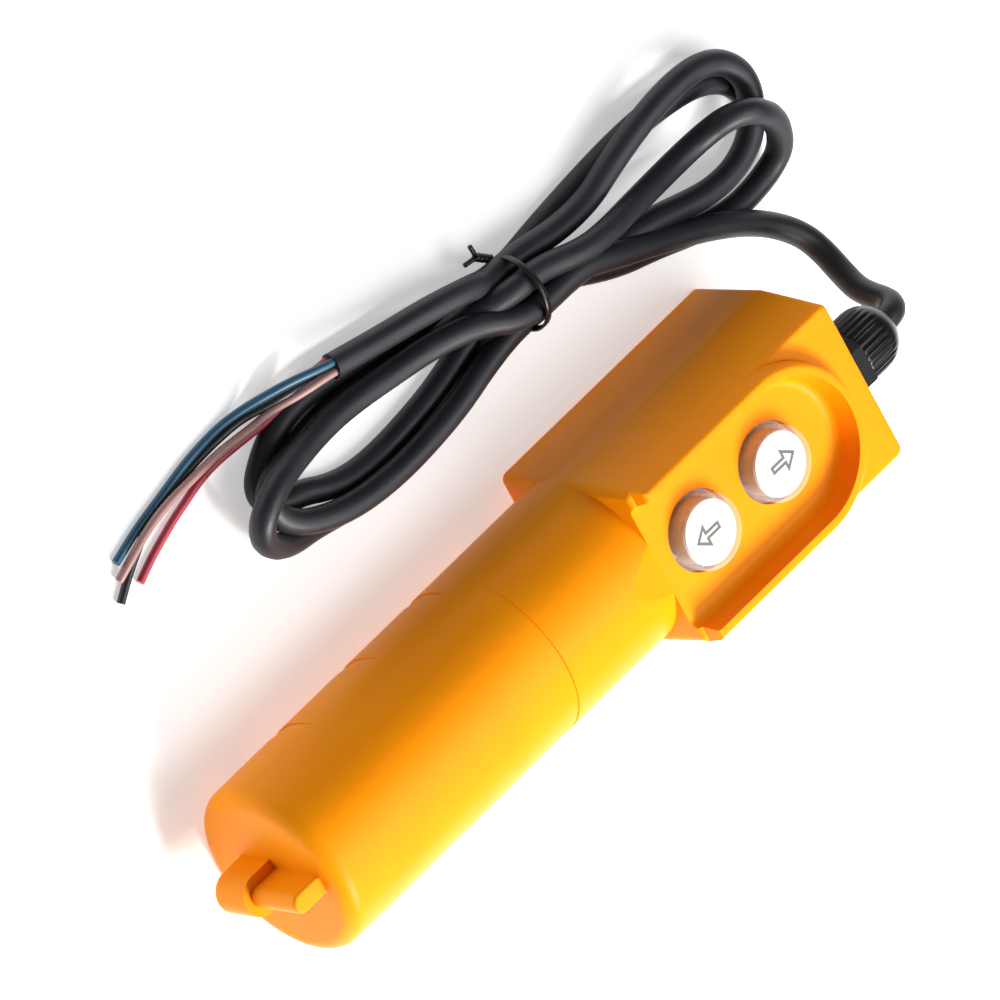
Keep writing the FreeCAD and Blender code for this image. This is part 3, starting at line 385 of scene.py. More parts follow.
@dataclass(frozen=True)
class PrintedInk:
    """Flat printed ink, a little uneven."""

    name: str
    colour: Colour = (0.012, 0.012, 0.013)
    worn: Colour = (0.06, 0.06, 0.062)
    wear_scale: float = 1500.0

    def make(self) -> bpy.types.Material:
        """Return the material."""
        graph = Graph(self.name)
        wear = graph.ramp(graph.noise(self.wear_scale, 3.0), 0.5, 0.85)
        return graph.finish(
            Base_Color=graph.blend(wear * 0.25, self.colour, self.worn),
            Roughness=0.45 + 0.2 * wear,
        )


@dataclass(frozen=True)
class FloorPaper:
    """Pale studio paper with a faint tooth, and a glow that keeps its shadows pale."""

    name: str = "floor_paper"
    colour: Colour = (0.86, 0.86, 0.86)
    pale: Colour = (0.9, 0.9, 0.9)
    glow_colour: Colour = (1.0, 1.0, 1.0)
    glow: float = 0.45
    tooth_scale: float = 500.0

    def make(self) -> bpy.types.Material:
        """Return the material."""
        graph = Graph(self.name)
        tooth = graph.noise(self.tooth_scale, 2.0)
        return graph.finish(
            Base_Color=graph.blend(tooth * 0.1, self.colour, self.pale),
            Roughness=0.8,
            Specular_IOR_Level=0.1,
            Emission_Color=self.glow_colour,
            Emission_Strength=self.glow,
        )


class Finish(Enum):
    """The finishes of the pendant, its works and its cable."""

    SHELL = MouldedPlastic(
        "shell_yellow", (0.95, 0.3, 0.0006), (0.9, 0.25, 0.0005), 0.42, shine=0.12, glow=0.1
    )
    CAP = ClearPlastic("cap_clear")
    LEGEND = MouldedPlastic(
        "legend_white", (0.68, 0.64, 0.61), (0.62, 0.58, 0.55), 0.4, grain=700.0
    )
    NYLON = MouldedPlastic(
        "gland_nylon", (0.003, 0.003, 0.0034), (0.006, 0.006, 0.0065), 0.27, grain=1300.0, shine=0.3
    )
    SHEATH = Rubber("sheath_rubber", (0.011, 0.012, 0.0165), (0.02, 0.022, 0.0285))
    SEAL = Rubber("seal_rubber", (0.008, 0.008, 0.008), (0.02, 0.02, 0.02), 0.7)
    INSULATOR = MouldedPlastic("switch_black", (0.012, 0.012, 0.013), (0.02, 0.02, 0.02), 0.45)
    SCREW = Metal("screw_zinc", (0.62, 0.6, 0.56), (0.42, 0.38, 0.3))
    PLATE = Metal("plate_steel", (0.55, 0.56, 0.57), (0.4, 0.38, 0.35), 0.38)
    SPRING = Metal("spring_wire", (0.5, 0.5, 0.51), (0.36, 0.35, 0.33), 0.25)
    BRASS = Metal("contact_brass", (0.78, 0.56, 0.23), (0.5, 0.33, 0.14), 0.28)
    CORE_BLUE = MouldedPlastic(
        "core_blue", (0.018, 0.085, 0.15), (0.012, 0.055, 0.105), 0.38, grain=1500.0
    )
    CORE_BROWN = MouldedPlastic(
        "core_brown", (0.37, 0.2, 0.19), (0.28, 0.14, 0.13), 0.4, grain=1500.0
    )
    CORE_BLACK = MouldedPlastic(
        "core_black", (0.014, 0.014, 0.017), (0.02, 0.02, 0.024), 0.38, grain=1500.0
    )
    CORE_RED = MouldedPlastic(
        "core_red", (0.42, 0.045, 0.075), (0.32, 0.03, 0.05), 0.38, grain=1500.0
    )
    TIE = MouldedPlastic(
        "tie_black", (0.0045, 0.0045, 0.005), (0.01, 0.01, 0.011), 0.35, grain=1500.0
    )
    INK = PrintedInk("legend_ink")
    FLOOR = FloorPaper()


class Palette:
    """Makes each finish once and hands out its material."""

    def __init__(self) -> None:
        """Start with no materials made."""
        self._made: dict[Finish, bpy.types.Material] = {}

    def __getitem__(self, finish: Finish) -> bpy.types.Material:
        """Look up a finish's material, which is made at its first use.

        Args:
            finish: The finish.

        Returns:
            Its material.
        """
        if finish not in self._made:
            self._made[finish] = finish.value.make()
        return self._made[finish]


@dataclass
class Workshop:
    """What every sub-assembly needs: the CAD nodes and the finishes."""

    nodes: Mapping[str, bpy.types.Object]
    palette: Palette = field(default_factory=Palette)
    curve_steps: int = 8
    round_steps: int = 5

    def paint(self, finish: Finish, *names: str) -> None:
        """Give CAD nodes a finish in all their material slots.

        Args:
            finish: The finish.
            names: The nodes' names.
        """
        for name in names:
            slots = self.nodes[name].material_slots
            if not slots:
                self.nodes[name].data.materials.append(self.palette[finish])
            for slot in slots:
                slot.material = self.palette[finish]
            LOG.info("painted %s with %s", name, finish.value.name)

    def add(
        self,
        name: str,
        vertices: Sequence[Sequence[float]],
        faces: Sequence[Sequence[int]],
        finish: Finish,
        body: Body = Body.PENDANT,
        smooth: bool = True,
    ) -> bpy.types.Object:
        """Make a mesh piece that rides on a body.

        Args:
            name: The piece's name.
            vertices: Its points in the frame of the model.
            faces: Its faces as numbers of points.
            finish: Its finish.
            body: The body that it rides on.
            smooth: Whether its faces are shaded smooth.

        Returns:
            The piece.
        """
        mesh = bpy.data.meshes.new(name)
        mesh.from_pydata([tuple(v) for v in vertices], [], [tuple(f) for f in faces])
        mesh.validate()
        mesh.materials.append(self.palette[finish])
        mesh.polygons.foreach_set("use_smooth", [smooth] * len(mesh.polygons))
        piece = bpy.data.objects.new(name, mesh)
        bpy.context.scene.collection.objects.link(piece)
        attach(piece, body.value)
        LOG.info("made %s with %d faces", name, len(mesh.polygons))
        return piece

    def add_curve(
        self, name: str, points: Sequence[Point], radius: float, finish: Finish
    ) -> bpy.types.Object:
        """Make a round cord on one NURBS spline.

        Args:
            name: The piece's name.
            points: The route's control points.
            radius: The cord's radius.
            finish: Its finish.

        Returns:
            The piece.
        """
        curve = bpy.data.curves.new(name, "CURVE")
        curve.dimensions = "3D"
        spline = curve.splines.new("NURBS")
        spline.points.add(len(points) - 1)
        for spot, point in zip(spline.points, points):
            spot.co = (*point, 1.0)
        spline.order_u = 3
        spline.use_endpoint_u = True
        spline.resolution_u = self.curve_steps
        curve.bevel_depth = radius
        curve.bevel_resolution = self.round_steps
        curve.use_fill_caps = True
        curve.materials.append(self.palette[finish])
        piece = bpy.data.objects.new(name, curve)
        bpy.context.scene.collection.objects.link(piece)
        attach(piece, Body.PENDANT.value)
        LOG.info("made %s on %d points", name, len(points))
        return piece


def sweep(
    line: Sequence[Vector], section: Callable[[int], Profile], closed: bool
) -> tuple[list[Vector], list[tuple[int, ...]]]:
    """Carry a section along a line without twist.

    Args:
        line: The points of the line.
        section: Gives the section's points, sideways and up, at each step.
        closed: Whether the line closes on itself.

    Returns:
        The vertices and the faces.
    """
    count = len(line)
    vertices: list[Vector] = []
    side = None
    for step, spot in enumerate(line):
        after = line[(step + 1) % count] if closed or step < count - 1 else spot
        before = line[step - 1] if closed or step else spot
        ahead = (after - before).normalized()
        start = Vector((0.0, 1.0, 0.0)) if side is None else side
        side = (start - ahead * start.dot(ahead)).normalized()
        rise = ahead.cross(side)
        vertices += [spot + side * across + rise * up for across, up in section(step)]
    size = len(section(0))
    faces: list[tuple[int, ...]] = []
    for step in range(count if closed else count - 1):
        low, high = step * size, ((step + 1) % count) * size
        for corner in range(size):
            after = (corner + 1) % size
            faces.append((low + corner, low + after, high + after, high + corner))
    if not closed:
        faces.append(tuple(reversed(range(size))))
        faces.append(tuple(range(len(vertices) - size, len(vertices))))
    return vertices, faces


@dataclass(frozen=True)
class Lamp:
    """A square soft light: its step from the target, its side and its power in watts."""

    name: str
    step: Point
    side: float
    power: float
    colour: Colour


@dataclass
class Studio:
    """The camera at the photograph's angle, the pale floor and the soft lights."""

    eye: Point = (-3.642047, -3.688418, 6.094448)
    target: Point = (-0.021269, 0.019797, 0.000262)
    sensor: float = 36.0
    lens: float = 1020.99
    right: Point = (0.428903, 0.63581, 0.641707)
    up: Point = (-0.781791, 0.617162, -0.088958)
    back: Point = (-0.452597, -0.463527, 0.761773)
    farthest: float = 40.0
    floor_half: float = 6.0
    floor_top: float = -0.0001
    sky_colour: Colour = (0.95, 0.97, 1.0)
    sky_strength: float = 0.2
    lamps: Sequence[Lamp] = (
        Lamp("key", (0.95, -0.15, 0.95), 0.5, 33.0, (1.0, 0.985, 0.95)),
        Lamp("top", (0.35, 0.4, 1.4), 0.9, 13.0, (1.0, 1.0, 1.0)),
    )

    def build(self, shop: Workshop) -> None:
        """Make the camera, the floor, the sky and the lights.

        Args:
            shop: The workshop.
        """
        bpy.context.scene.view_settings.view_transform = "Standard"
        self._camera()
        self._floor(shop)
        self._sky()
        for lamp in self.lamps:
            self._light(lamp)

    def _camera(self) -> None:
        """Make the camera and hand it to the scene."""
        lens = bpy.data.cameras.new("photo_camera")
        lens.sensor_width = self.sensor
        lens.lens = self.lens
        lens.clip_end = self.farthest
        camera = bpy.data.objects.new("photo_camera", lens)
        axes = Matrix((self.right, self.up, self.back)).transposed().to_4x4()
        camera.matrix_world = Matrix.Translation(self.eye) @ axes
        bpy.context.scene.collection.objects.link(camera)
        bpy.context.scene.camera = camera

    def _floor(self, shop: Workshop) -> None:
        """Make the floor just under the model.

        Args:
            shop: The workshop.
        """
        half, low = self.floor_half, self.floor_top
        mesh = bpy.data.meshes.new("floor")
        corners = [(-half, -half, low), (half, -half, low), (half, half, low), (-half, half, low)]
        mesh.from_pydata(corners, [], [(0, 1, 2, 3)])
        mesh.materials.append(shop.palette[Finish.FLOOR])
        floor = bpy.data.objects.new("floor", mesh)
        bpy.context.scene.collection.objects.link(floor)

    def _sky(self) -> None:
        """Give the studio an even pale sky."""
        world = bpy.data.worlds.new("studio_sky")
        world.use_nodes = True
        sky = world.node_tree.nodes["Background"]
        sky.inputs["Color"].default_value = (*self.sky_colour, 1.0)
        sky.inputs["Strength"].default_value = self.sky_strength
        bpy.context.scene.world = world

    def _light(self, lamp: Lamp) -> None:
        """Make a soft light that looks at the pendant.

        Args:
            lamp: The light's place, size, power and colour.
        """
        glow = bpy.data.lights.new(lamp.name, "AREA")
        glow.size = lamp.side
        glow.energy = lamp.power
        glow.color = lamp.colour
        light = bpy.data.objects.new(lamp.name, glow)
        step = Vector(lamp.step)
        turn = step.to_track_quat("Z", "Y").to_matrix().to_4x4()
        light.matrix_world = Matrix.Translation(Vector(self.target) + step) @ turn
        bpy.context.scene.collection.objects.link(light)


@dataclass
class ControlCable:
    """The rubber cable from the gland, its tied hank, and its four bare-cut cores."""

    radius: float = 0.0039
    core_radius: float = 0.0013
    lead: Sequence[Point] = (
        (0.0, 0.1342, 0.0416), (0.0, 0.1376, 0.0416), (-0.0002, 0.141, 0.0396),
        (-0.0007, 0.1428, 0.0358), (-0.0016, 0.1428, 0.0304), (-0.0036, 0.143, 0.0242),
        (-0.0074, 0.1448, 0.0182), (-0.013, 0.146, 0.0132), (-0.0196, 0.1449, 0.01),
        (-0.0274, 0.1394, 0.009), (-0.0352, 0.131, 0.0096), (-0.0422, 0.121, 0.0115),
        (-0.0483, 0.1102, 0.0125), (-0.0547, 0.0973, 0.014), (-0.0617, 0.0831, 0.0165),
        (-0.0686, 0.0695, 0.018),
    )
    first_bight: Sequence[Point] = (
        (-0.0683, 0.057, 0.0176), (-0.0689, 0.044, 0.0176), (-0.0765, 0.032, 0.015),
        (-0.0801, 0.0171, 0.0125), (-0.082, 0.0021, 0.0112), (-0.0845, -0.0142, 0.0112),
        (-0.0854, -0.0252, 0.0118), (-0.0857, -0.0363, 0.0135), (-0.0862, -0.0482, 0.017),
        (-0.0844, -0.0575, 0.019), (-0.0803, -0.0628, 0.018), (-0.0738, -0.0633, 0.0145),
        (-0.0665, -0.0577, 0.01), (-0.0618, -0.0494, 0.006), (-0.0597, -0.0405, 0.004),
        (-0.0566, -0.0285, 0.0039), (-0.0538, -0.0145, 0.0039), (-0.0536, 0.0026, 0.0039),
        (-0.0556, 0.0211, 0.0039), (-0.0605, 0.032, 0.005),
    )
    inner_loop: Sequence[Point] = (
        (-0.0733, 0.044, 0.0109), (-0.0727, 0.057, 0.0109), (-0.0655, 0.071, 0.0065),
        (-0.0577, 0.0905, 0.0039), (-0.0545, 0.107, 0.0039), (-0.0505, 0.1191, 0.0039),
        (-0.048, 0.1286, 0.0039), (-0.0478, 0.1374, 0.0039), (-0.05, 0.1448, 0.0039),
        (-0.0533, 0.1497, 0.0039), (-0.0581, 0.1529, 0.0039), (-0.0637, 0.1535, 0.0039),
        (-0.0689, 0.1512, 0.0039), (-0.0736, 0.1468, 0.0039), (-0.077, 0.1401, 0.0039),
        (-0.0792, 0.1313, 0.0039), (-0.0808, 0.1185, 0.0039), (-0.081, 0.1048, 0.0039),
        (-0.08, 0.0868, 0.0039), (-0.0786, 0.07, 0.0039),
    )
    second_bight: Sequence[Point] = (
        (-0.0771, 0.057, 0.0041), (-0.0777, 0.044, 0.0041), (-0.081, 0.029, 0.0039),
        (-0.0871, 0.0097, 0.0039), (-0.09, -0.0059, 0.0039), (-0.0925, -0.0187, 0.0039),
        (-0.0928, -0.0299, 0.0039), (-0.0901, -0.0387, 0.0039), (-0.0863, -0.0452, 0.0039),
        (-0.082, -0.0503, 0.0039), (-0.0767, -0.0508, 0.0039), (-0.0724, -0.0458, 0.0039),
        (-0.07, -0.0378, 0.0039), (-0.066, -0.0309, 0.0039), (-0.0632, -0.0231, 0.0039),
        (-0.0621, -0.0146, 0.0039), (-0.0621, -0.005, 0.0039), (-0.0629, 0.0053, 0.0039),
        (-0.064, 0.0149, 0.0039), (-0.0663, 0.0253, 0.0039), (-0.068, 0.031, 0.0039),
    )
    front_loop: Sequence[Point] = (
        (-0.0689, 0.044, 0.0041), (-0.0683, 0.057, 0.0041), (-0.0625, 0.07, 0.0039),
        (-0.0525, 0.0879, 0.0039), (-0.0477, 0.1033, 0.0039), (-0.0416, 0.119, 0.0039),
        (-0.0385, 0.1317, 0.0039), (-0.0389, 0.1415, 0.0042), (-0.0409, 0.1483, 0.0055),
        (-0.0449, 0.1524, 0.0085), (-0.0518, 0.1528, 0.0125), (-0.0595, 0.1503, 0.0165),
        (-0.0658, 0.1447, 0.0195), (-0.0688, 0.1401, 0.0195), (-0.0697, 0.1355, 0.0175),
        (-0.0686, 0.1308, 0.014), (-0.0675, 0.1241, 0.0115), (-0.0672, 0.1155, 0.011),
        (-0.0679, 0.1055, 0.0125), (-0.0691, 0.0949, 0.015), (-0.0708, 0.0832, 0.0185),
        (-0.0721, 0.0718, 0.0195),
    )
    third_bight: Sequence[Point] = (
        (-0.0771, 0.057, 0.0176), (-0.0777, 0.044, 0.0176), (-0.0775, 0.032, 0.0095),
        (-0.078, 0.0224, 0.005), (-0.0803, 0.0074, 0.0039), (-0.0833, -0.0073, 0.0039),
        (-0.0842, -0.0186, 0.0039), (-0.0839, -0.029, 0.0045), (-0.0836, -0.04, 0.007),
        (-0.0833, -0.0504, 0.011), (-0.0797, -0.0544, 0.0117), (-0.0738, -0.0533, 0.0114),
        (-0.0681, -0.0484, 0.011), (-0.0641, -0.042, 0.0107), (-0.0609, -0.0345, 0.0107),
        (-0.0583, -0.0236, 0.0107), (-0.0573, -0.0097, 0.0107), (-0.0579, 0.0031, 0.0107),
        (-0.0593, 0.0164, 0.0107), (-0.0628, 0.031, 0.0107),
    )
    outer_loop: Sequence[Point] = (
        (-0.0647, 0.044, 0.0109), (-0.0641, 0.057, 0.0109), (-0.0643, 0.07, 0.0112),
        (-0.0621, 0.0873, 0.0117), (-0.0586, 0.1028, 0.0117), (-0.0547, 0.1144, 0.0117),
        (-0.0525, 0.1245, 0.0117), (-0.0526, 0.1341, 0.0117), (-0.0551, 0.1411, 0.0117),
        (-0.0587, 0.1457, 0.0117), (-0.0634, 0.1489, 0.0117), (-0.0693, 0.1511, 0.0117),
        (-0.0751, 0.1505, 0.0117), (-0.0807, 0.1471, 0.0117), (-0.0845, 0.1412, 0.0117),
        (-0.0861, 0.1333, 0.0117), (-0.0862, 0.1231, 0.0117), (-0.0845, 0.1106, 0.0115),
        (-0.081, 0.0977, 0.0105), (-0.0777, 0.0871, 0.01), (-0.0783, 0.072, 0.011),
    )
    last_run: Sequence[Point] = (
        (-0.0813, 0.057, 0.0109), (-0.0819, 0.044, 0.0109), (-0.0856, 0.0366, 0.0135),
        (-0.0893, 0.0225, 0.0125), (-0.0924, 0.0068, 0.0118), (-0.0953, -0.0056, 0.0116),
        (-0.0975, -0.0146, 0.0115),
    )
    cable_length: float = 1.6
    tie_centre: Point = (-0.073, 0.0505, 0.0123)
    tie_turn: float = -0.12
    tie_radius: float = 0.0118
    tie_width: float = 0.0022
    tie_thickness: float = 0.0009
    tie_steps: int = 48
    tie_bevel: float = 0.8
    tail_radius: float = 0.00075
    tail_sides: int = 8
    tail_root: Point = (-0.0844, 0.0508, 0.0075)
    tail_tip: Point = (-0.0912, 0.0436, 0.009)
    tail_steps: int = 30
    tail_turns: float = 2.9
    tail_split: float = 0.7
    tail_gap: float = 0.0007
    tail_splay: float = 0.007
    core_lengths: Mapping[str, float] = field(
        default_factory=lambda: {"blue": 0.09, "brown": 0.091, "black": 0.096, "red": 0.086}
    )
    core_routes: Mapping[str, Sequence[Point]] = field(default_factory=lambda: {
        "blue": (
            (-0.0988, -0.0134, 0.0129), (-0.0996, -0.017, 0.0129), (-0.1025, -0.0281, 0.0105),
            (-0.1028, -0.0362, 0.0065), (-0.1028, -0.0424, 0.0035), (-0.1029, -0.0498, 0.0018),
            (-0.1025, -0.0576, 0.0015), (-0.1019, -0.0646, 0.0015), (-0.1008, -0.071, 0.0015),
            (-0.0994, -0.0781, 0.0015), (-0.0981, -0.0859, 0.0015), (-0.0963, -0.0936, 0.0015),
            (-0.0941, -0.1008, 0.0015),
        ),
        "brown": (
            (-0.096, -0.0141, 0.0129), (-0.0966, -0.017, 0.0126), (-0.0972, -0.0265, 0.0105),
            (-0.0974, -0.035, 0.006), (-0.097, -0.0419, 0.0048), (-0.0974, -0.048, 0.0042),
            (-0.0982, -0.0553, 0.0041), (-0.0982, -0.0627, 0.0041), (-0.0981, -0.0693, 0.0041),
            (-0.098, -0.0768, 0.0041), (-0.0969, -0.0849, 0.0041), (-0.0951, -0.0918, 0.0041),
            (-0.0925, -0.0976, 0.0034), (-0.0893, -0.1028, 0.0016),
        ),
        "black": (
            (-0.096, -0.0141, 0.01), (-0.0966, -0.0172, 0.0099), (-0.0993, -0.0288, 0.009),
            (-0.0992, -0.0366, 0.0045), (-0.0999, -0.0433, 0.002), (-0.1001, -0.0514, 0.0015),
            (-0.1, -0.0602, 0.0015), (-0.0993, -0.0689, 0.0015), (-0.0985, -0.0769, 0.0015),
            (-0.0965, -0.0844, 0.0015), (-0.0934, -0.0908, 0.0015), (-0.0901, -0.0966, 0.0015),
            (-0.087, -0.1012, 0.0015), (-0.0835, -0.1058, 0.0015),
        ),
        "red": (
            (-0.0988, -0.0134, 0.01), (-0.0992, -0.0166, 0.01), (-0.0978, -0.0262, 0.0066),
            (-0.0949, -0.0352, 0.0045), (-0.0946, -0.0452, 0.002), (-0.0952, -0.0565, 0.0015),
            (-0.0946, -0.0643, 0.0015), (-0.0929, -0.0707, 0.0015), (-0.0914, -0.0774, 0.0015),
            (-0.0891, -0.0846, 0.0015), (-0.087, -0.0908, 0.0015), (-0.0841, -0.0971, 0.0015),
        ),
    })

    def build(self, shop: Workshop) -> None:
        """Args:
            shop: The workshop.
        """
        route = [
            *self.lead, *self.first_bight, *self.inner_loop, *self.second_bight,
            *self.front_loop, *self.third_bight, *self.outer_loop, *self.last_run,
        ]
        cable = shop.add_curve("control_cable", route, self.radius, Finish.SHEATH)
        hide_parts("cable_lead", "cable_hank")
        tie = self._tie(shop)
        self.lead[0]
        finishes = {"blue": Finish.CORE_BLUE, "brown": Finish.CORE_BROWN,
                    "black": Finish.CORE_BLACK, "red": Finish.CORE_RED}
        for colour, points in self.core_routes.items():
            core = shop.add_curve(f"core_{colour}", points, self.core_radius, finishes[colour])
            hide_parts(f"wire_{colour}")
            points[0]
            self.core_lengths[colour]
        shop.paint(Finish.SHEATH, "cable_entry")
        shop.paint(Finish.CORE_RED, "inner_cores")

    def _tie_ends(self) -> list[list[Vector]]:
        """Return the routes of the tie's two ends, twisted together and then splayed."""
        root, tip = Vector(self.tail_root), Vector(self.tail_tip)
        way = (tip - root).normalized()
        side = way.cross(Vector((0.0, 0.0, 1.0))).normalized()
        rise = side.cross(way)
        routes = []
        for sign in (1.0, -1.0):
            route = []
            for step in range(self.tail_steps):
                share = step / (self.tail_steps - 1)
                turn = min(share, self.tail_split) * self.tail_turns * math.tau
                spread = self.tail_gap + self.tail_splay * max(0.0, share - self.tail_split)
                aim = side * math.cos(turn) + rise * math.sin(turn)
                route.append(root.lerp(tip, share) + aim * spread * sign)
            routes.append(route)
        return routes

    def _tie(self, shop: Workshop) -> bpy.types.Object:
        """Make the twist tie round the hank, with its twisted ends.

        Args:
            shop: The workshop.

        Returns:
            The tie.
        """
        across = Vector((math.cos(self.tie_turn), math.sin(self.tie_turn), 0.0))
        centre, rise = Vector(self.tie_centre), Vector((0.0, 0.0, 1.0))
        ring = []
        for step in range(self.tie_steps):
            angle = math.tau * step / self.tie_steps
            aim = across * math.cos(angle) + rise * math.sin(angle)
            ring.append(centre + aim * self.tie_radius)
        half, thin = self.tie_width / 2, self.tie_thickness / 2
        flat = half * self.tie_bevel
        strip = [(-flat, -thin), (flat, -thin), (half, 0.0), (flat, thin), (-flat, thin), (-half, 0.0)]
        vertices, faces = sweep(ring, lambda step: strip, True)
        for route in self._tie_ends():
            more, quads = sweep(route, lambda step: circle(self.tail_radius, self.tail_sides), False)
            faces += [tuple(corner + len(vertices) for corner in quad) for quad in quads]
            vertices += more
        tie = shop.add("twist_tie", vertices, faces, Finish.TIE)
        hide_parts("cable_tie")
        return tie


def circle(radius: float, count: int) -> list[tuple[float, float]]:
    """Make a round section.

    Args:
        radius: Its radius.
        count: How many corners it has.

    Returns:
        The corners, anticlockwise.
    """
    turns = [math.tau * step / count for step in range(count)]
    return [(radius * math.cos(turn), radius * math.sin(turn)) for turn in turns]


@dataclass
class CableGland:
    """The nylon gland: its ribbed dome nut is made anew, the rest is painted.

    The profile's points are shares of the nut's length, of its radius and of the ribs' depth.
    """

    ribs: int = 30
    rib_depth: float = 0.00042
    steps: int = 7
    sharpness: float = 1.5
    profile: Sequence[Point] = (
        (0.0, 0.9, 0.0), (0.0, 0.955, 0.0), (0.03, 0.985, 0.2), (0.08, 1.0, 1.0),
        (0.35, 1.0, 1.0), (0.5, 0.995, 1.0), (0.57, 0.985, 0.9), (0.62, 0.97, 0.45),
        (0.68, 0.945, 0.1), (0.75, 0.895, 0.0), (0.82, 0.825, 0.0), (0.88, 0.745, 0.0),
        (0.93, 0.665, 0.0), (0.97, 0.59, 0.0), (0.99, 0.545, 0.0), (1.0, 0.515, 0.0),
        (0.997, 0.485, 0.0),
    )

    def build(self, shop: Workshop) -> None:
        """Make the dome nut and paint the other pieces.

        Args:
            shop: The workshop.
        """
        self._dome_nut(shop)
        shop.paint(Finish.NYLON, "gland_body", "gland_locknut")
        shop.paint(Finish.SEAL, "gland_seal", "gland_washer")

    def _dome_nut(self, shop: Workshop) -> None:
        """Turn the nut's profile round its axis, with rounded ribs on its skirt.

        Args:
            shop: The workshop.
        """
        low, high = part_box("gland_nut")
        middle = (low + high) / 2
        radius, length = (high.x - low.x) / 2, high.y - low.y
        around = self.ribs * self.steps
        vertices = []
        for share, width, ribbed in self.profile:
            for step in range(around):
                angle = math.tau * step / around
                rib = 0.5 - 0.5 * math.cos(angle * self.ribs)
                reach = radius * width - self.rib_depth * ribbed * rib ** self.sharpness
                vertices.append((middle.x + reach * math.cos(angle), low.y + length * share,
                                 middle.z + reach * math.sin(angle)))
        faces = []
        for ring in range(len(self.profile) - 1):
            for step in range(around):
                after = (step + 1) % around
                first, second = ring * around, (ring + 1) * around
                faces.append((first + step, second + step, second + after, first + after))
        nut = shop.add("dome_nut", vertices, faces, Finish.NYLON)
        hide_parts("gland_nut")


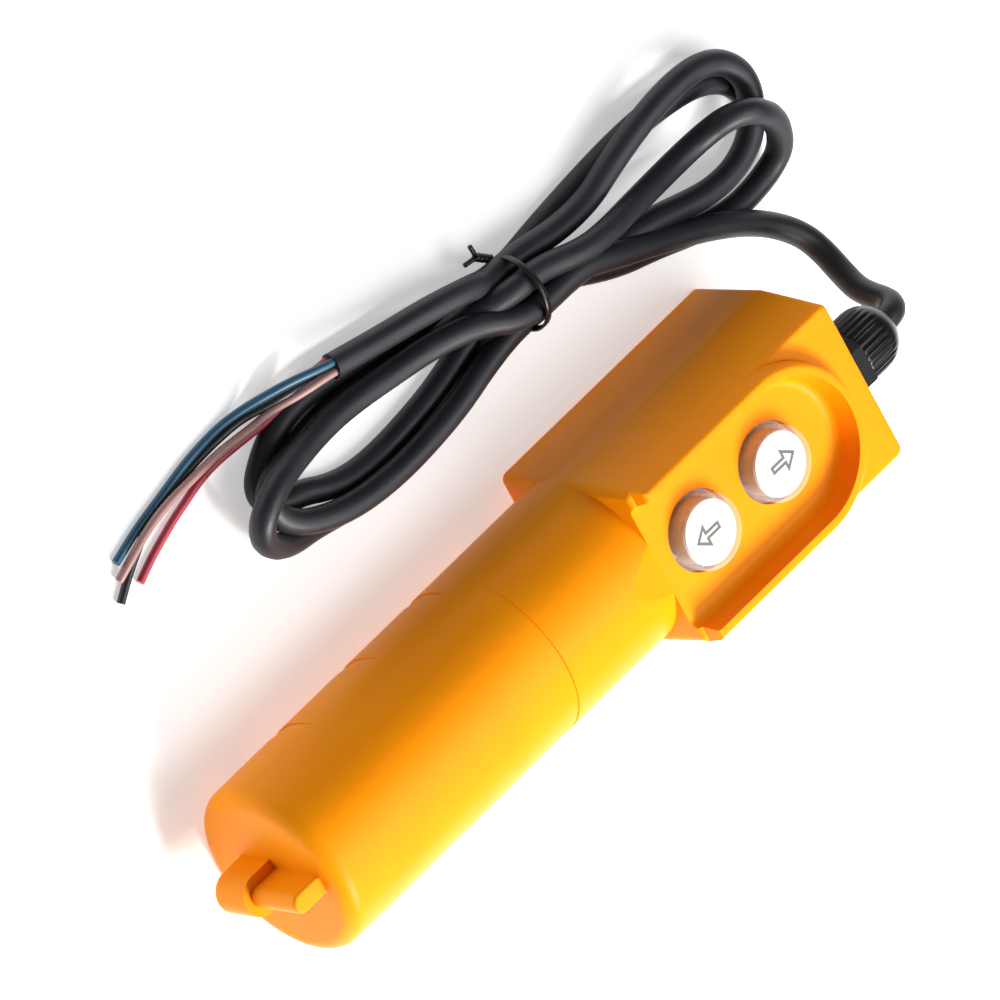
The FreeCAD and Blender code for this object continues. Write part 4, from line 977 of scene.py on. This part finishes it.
@dataclass
class PushButton:
    """One button: its clear cap, its white legend with an arrow, and its plunger."""

    side: str
    heading: float
    body: Body
    tail: float = -0.0038
    tip: float = 0.0062
    neck: float = 0.0013
    shaft: float = 0.00128
    barb: float = 0.0039
    stroke: float = 0.0009
    rise: float = 0.00008
    film: float = 0.00002
    film_edge: float = 0.0002
    rim_steps: int = 64

    def build(self, shop: Workshop) -> None:
        """Paint the button's pieces and print the arrow on its legend.

        Args:
            shop: The workshop.
        """
        shop.paint(Finish.CAP, f"button_cap_{self.side}")
        shop.paint(Finish.LEGEND, f"legend_disc_{self.side}")
        shop.paint(Finish.LEGEND, f"plunger_{self.side}")
        self._print(shop)
        self._arrow(shop)

    def _print(self, shop: Workshop) -> None:
        """Lay the white print on the legend's face as a thin round film.

        Args:
            shop: The workshop.
        """
        low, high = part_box(f"legend_disc_{self.side}")
        middle = (low + high) / 2
        rim = circle((high.x - low.x) / 2 - self.film_edge, self.rim_steps)
        vertices = []
        for height in (high.z + self.film, high.z + 2 * self.film):
            for x, y in rim:
                vertices.append((middle.x + x, middle.y + y, height))
        count = len(rim)
        faces = [tuple(reversed(range(count))), tuple(range(count, 2 * count))]
        for step in range(count):
            after = (step + 1) % count
            faces.append((step, after, count + after, count + step))
        shop.add(f"legend_film_{self.side}", vertices, faces, Finish.LEGEND, self.body, False)

    def _arrow(self, shop: Workshop) -> None:
        """Lay the outline arrow on the legend's face.

        Args:
            shop: The workshop.
        """
        outline = [(-self.shaft, self.tail), (self.shaft, self.tail), (self.shaft, self.neck),
                   (self.barb, self.neck), (0.0, self.tip), (-self.barb, self.neck),
                   (-self.shaft, self.neck)]
        low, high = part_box(f"legend_disc_{self.side}")
        middle = (low + high) / 2
        rings = [outline, inset(outline, self.stroke)]
        vertices = []
        for height in (high.z + self.rise, high.z + self.film):
            for ring in rings:
                for x, y in ring:
                    vertices.append((middle.x + x, middle.y + y * self.heading, height))
        count = len(outline)
        faces = []
        for step in range(count):
            after = (step + 1) % count
            faces.append((step, after, count + after, count + step))
            faces.append((2 * count + step, 2 * count + after, after, step))
            faces.append((3 * count + step, 3 * count + after, count + after, count + step))
        shop.add(f"legend_arrow_{self.side}", vertices, faces, Finish.INK, self.body, False)


def inset(outline: Profile, width: float) -> list[tuple[float, float]]:
    """Move each side of a closed outline inwards.

    Args:
        outline: The corners, anticlockwise.
        width: How far the sides move.

    Returns:
        The corners of the smaller outline.
    """
    count = len(outline)
    moved = []
    for place, corner in enumerate(outline):
        spot = Vector(corner)
        back = (spot - Vector(outline[place - 1])).normalized()
        ahead = (Vector(outline[(place + 1) % count]) - spot).normalized()
        first, second = Vector((-back.y, back.x)), Vector((-ahead.y, ahead.x))
        step = (first + second) * (width / (1.0 + first.dot(second)))
        moved.append(tuple(spot + step))
    return moved


class Housing:
    """The two moulded shells and the screws that hold them."""

    def build(self, shop: Workshop) -> None:
        """Paint the shells and their screws.

        Args:
            shop: The workshop.
        """
        shop.paint(Finish.SHELL, "housing_front", "housing_rear")
        shop.paint(Finish.SCREW, "case_screws")


@dataclass
class SwitchWorks:
    """The plate, contact blocks, contacts, springs and screws inside the shells."""

    sides: Sequence[str] = ("up", "down")

    def build(self, shop: Workshop) -> None:
        """Paint the works.

        Args:
            shop: The workshop.
        """
        shop.paint(Finish.PLATE, "switch_plate")
        shop.paint(Finish.SCREW, "plate_screws", "block_screws")
        for side in self.sides:
            shop.paint(Finish.INSULATOR, f"contact_block_{side}", f"button_guide_{side}")
            shop.paint(Finish.BRASS, f"contact_bridge_{side}", f"fixed_contacts_{side}")
            shop.paint(Finish.SPRING, f"return_spring_{side}")
            shop.paint(Finish.SCREW, f"terminal_screws_{side}")


def main() -> None:
    """Load the frame and build every sub-assembly."""
    logging.basicConfig(level=logging.INFO, format="%(name)s: %(message)s")
    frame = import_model()
    shop = Workshop(frame["nodes"])
    parts = [
        Studio(),
        ControlCable(),
        CableGland(),
        Housing(),
        PushButton("up", 1.0, Body.BUTTON_UP),
        PushButton("down", -1.0, Body.BUTTON_DOWN),
        SwitchWorks(),
    ]
    for part in parts:
        part.build(shop)
        LOG.info("%s is done", type(part).__name__)


if __name__ == "__main__":
    main()
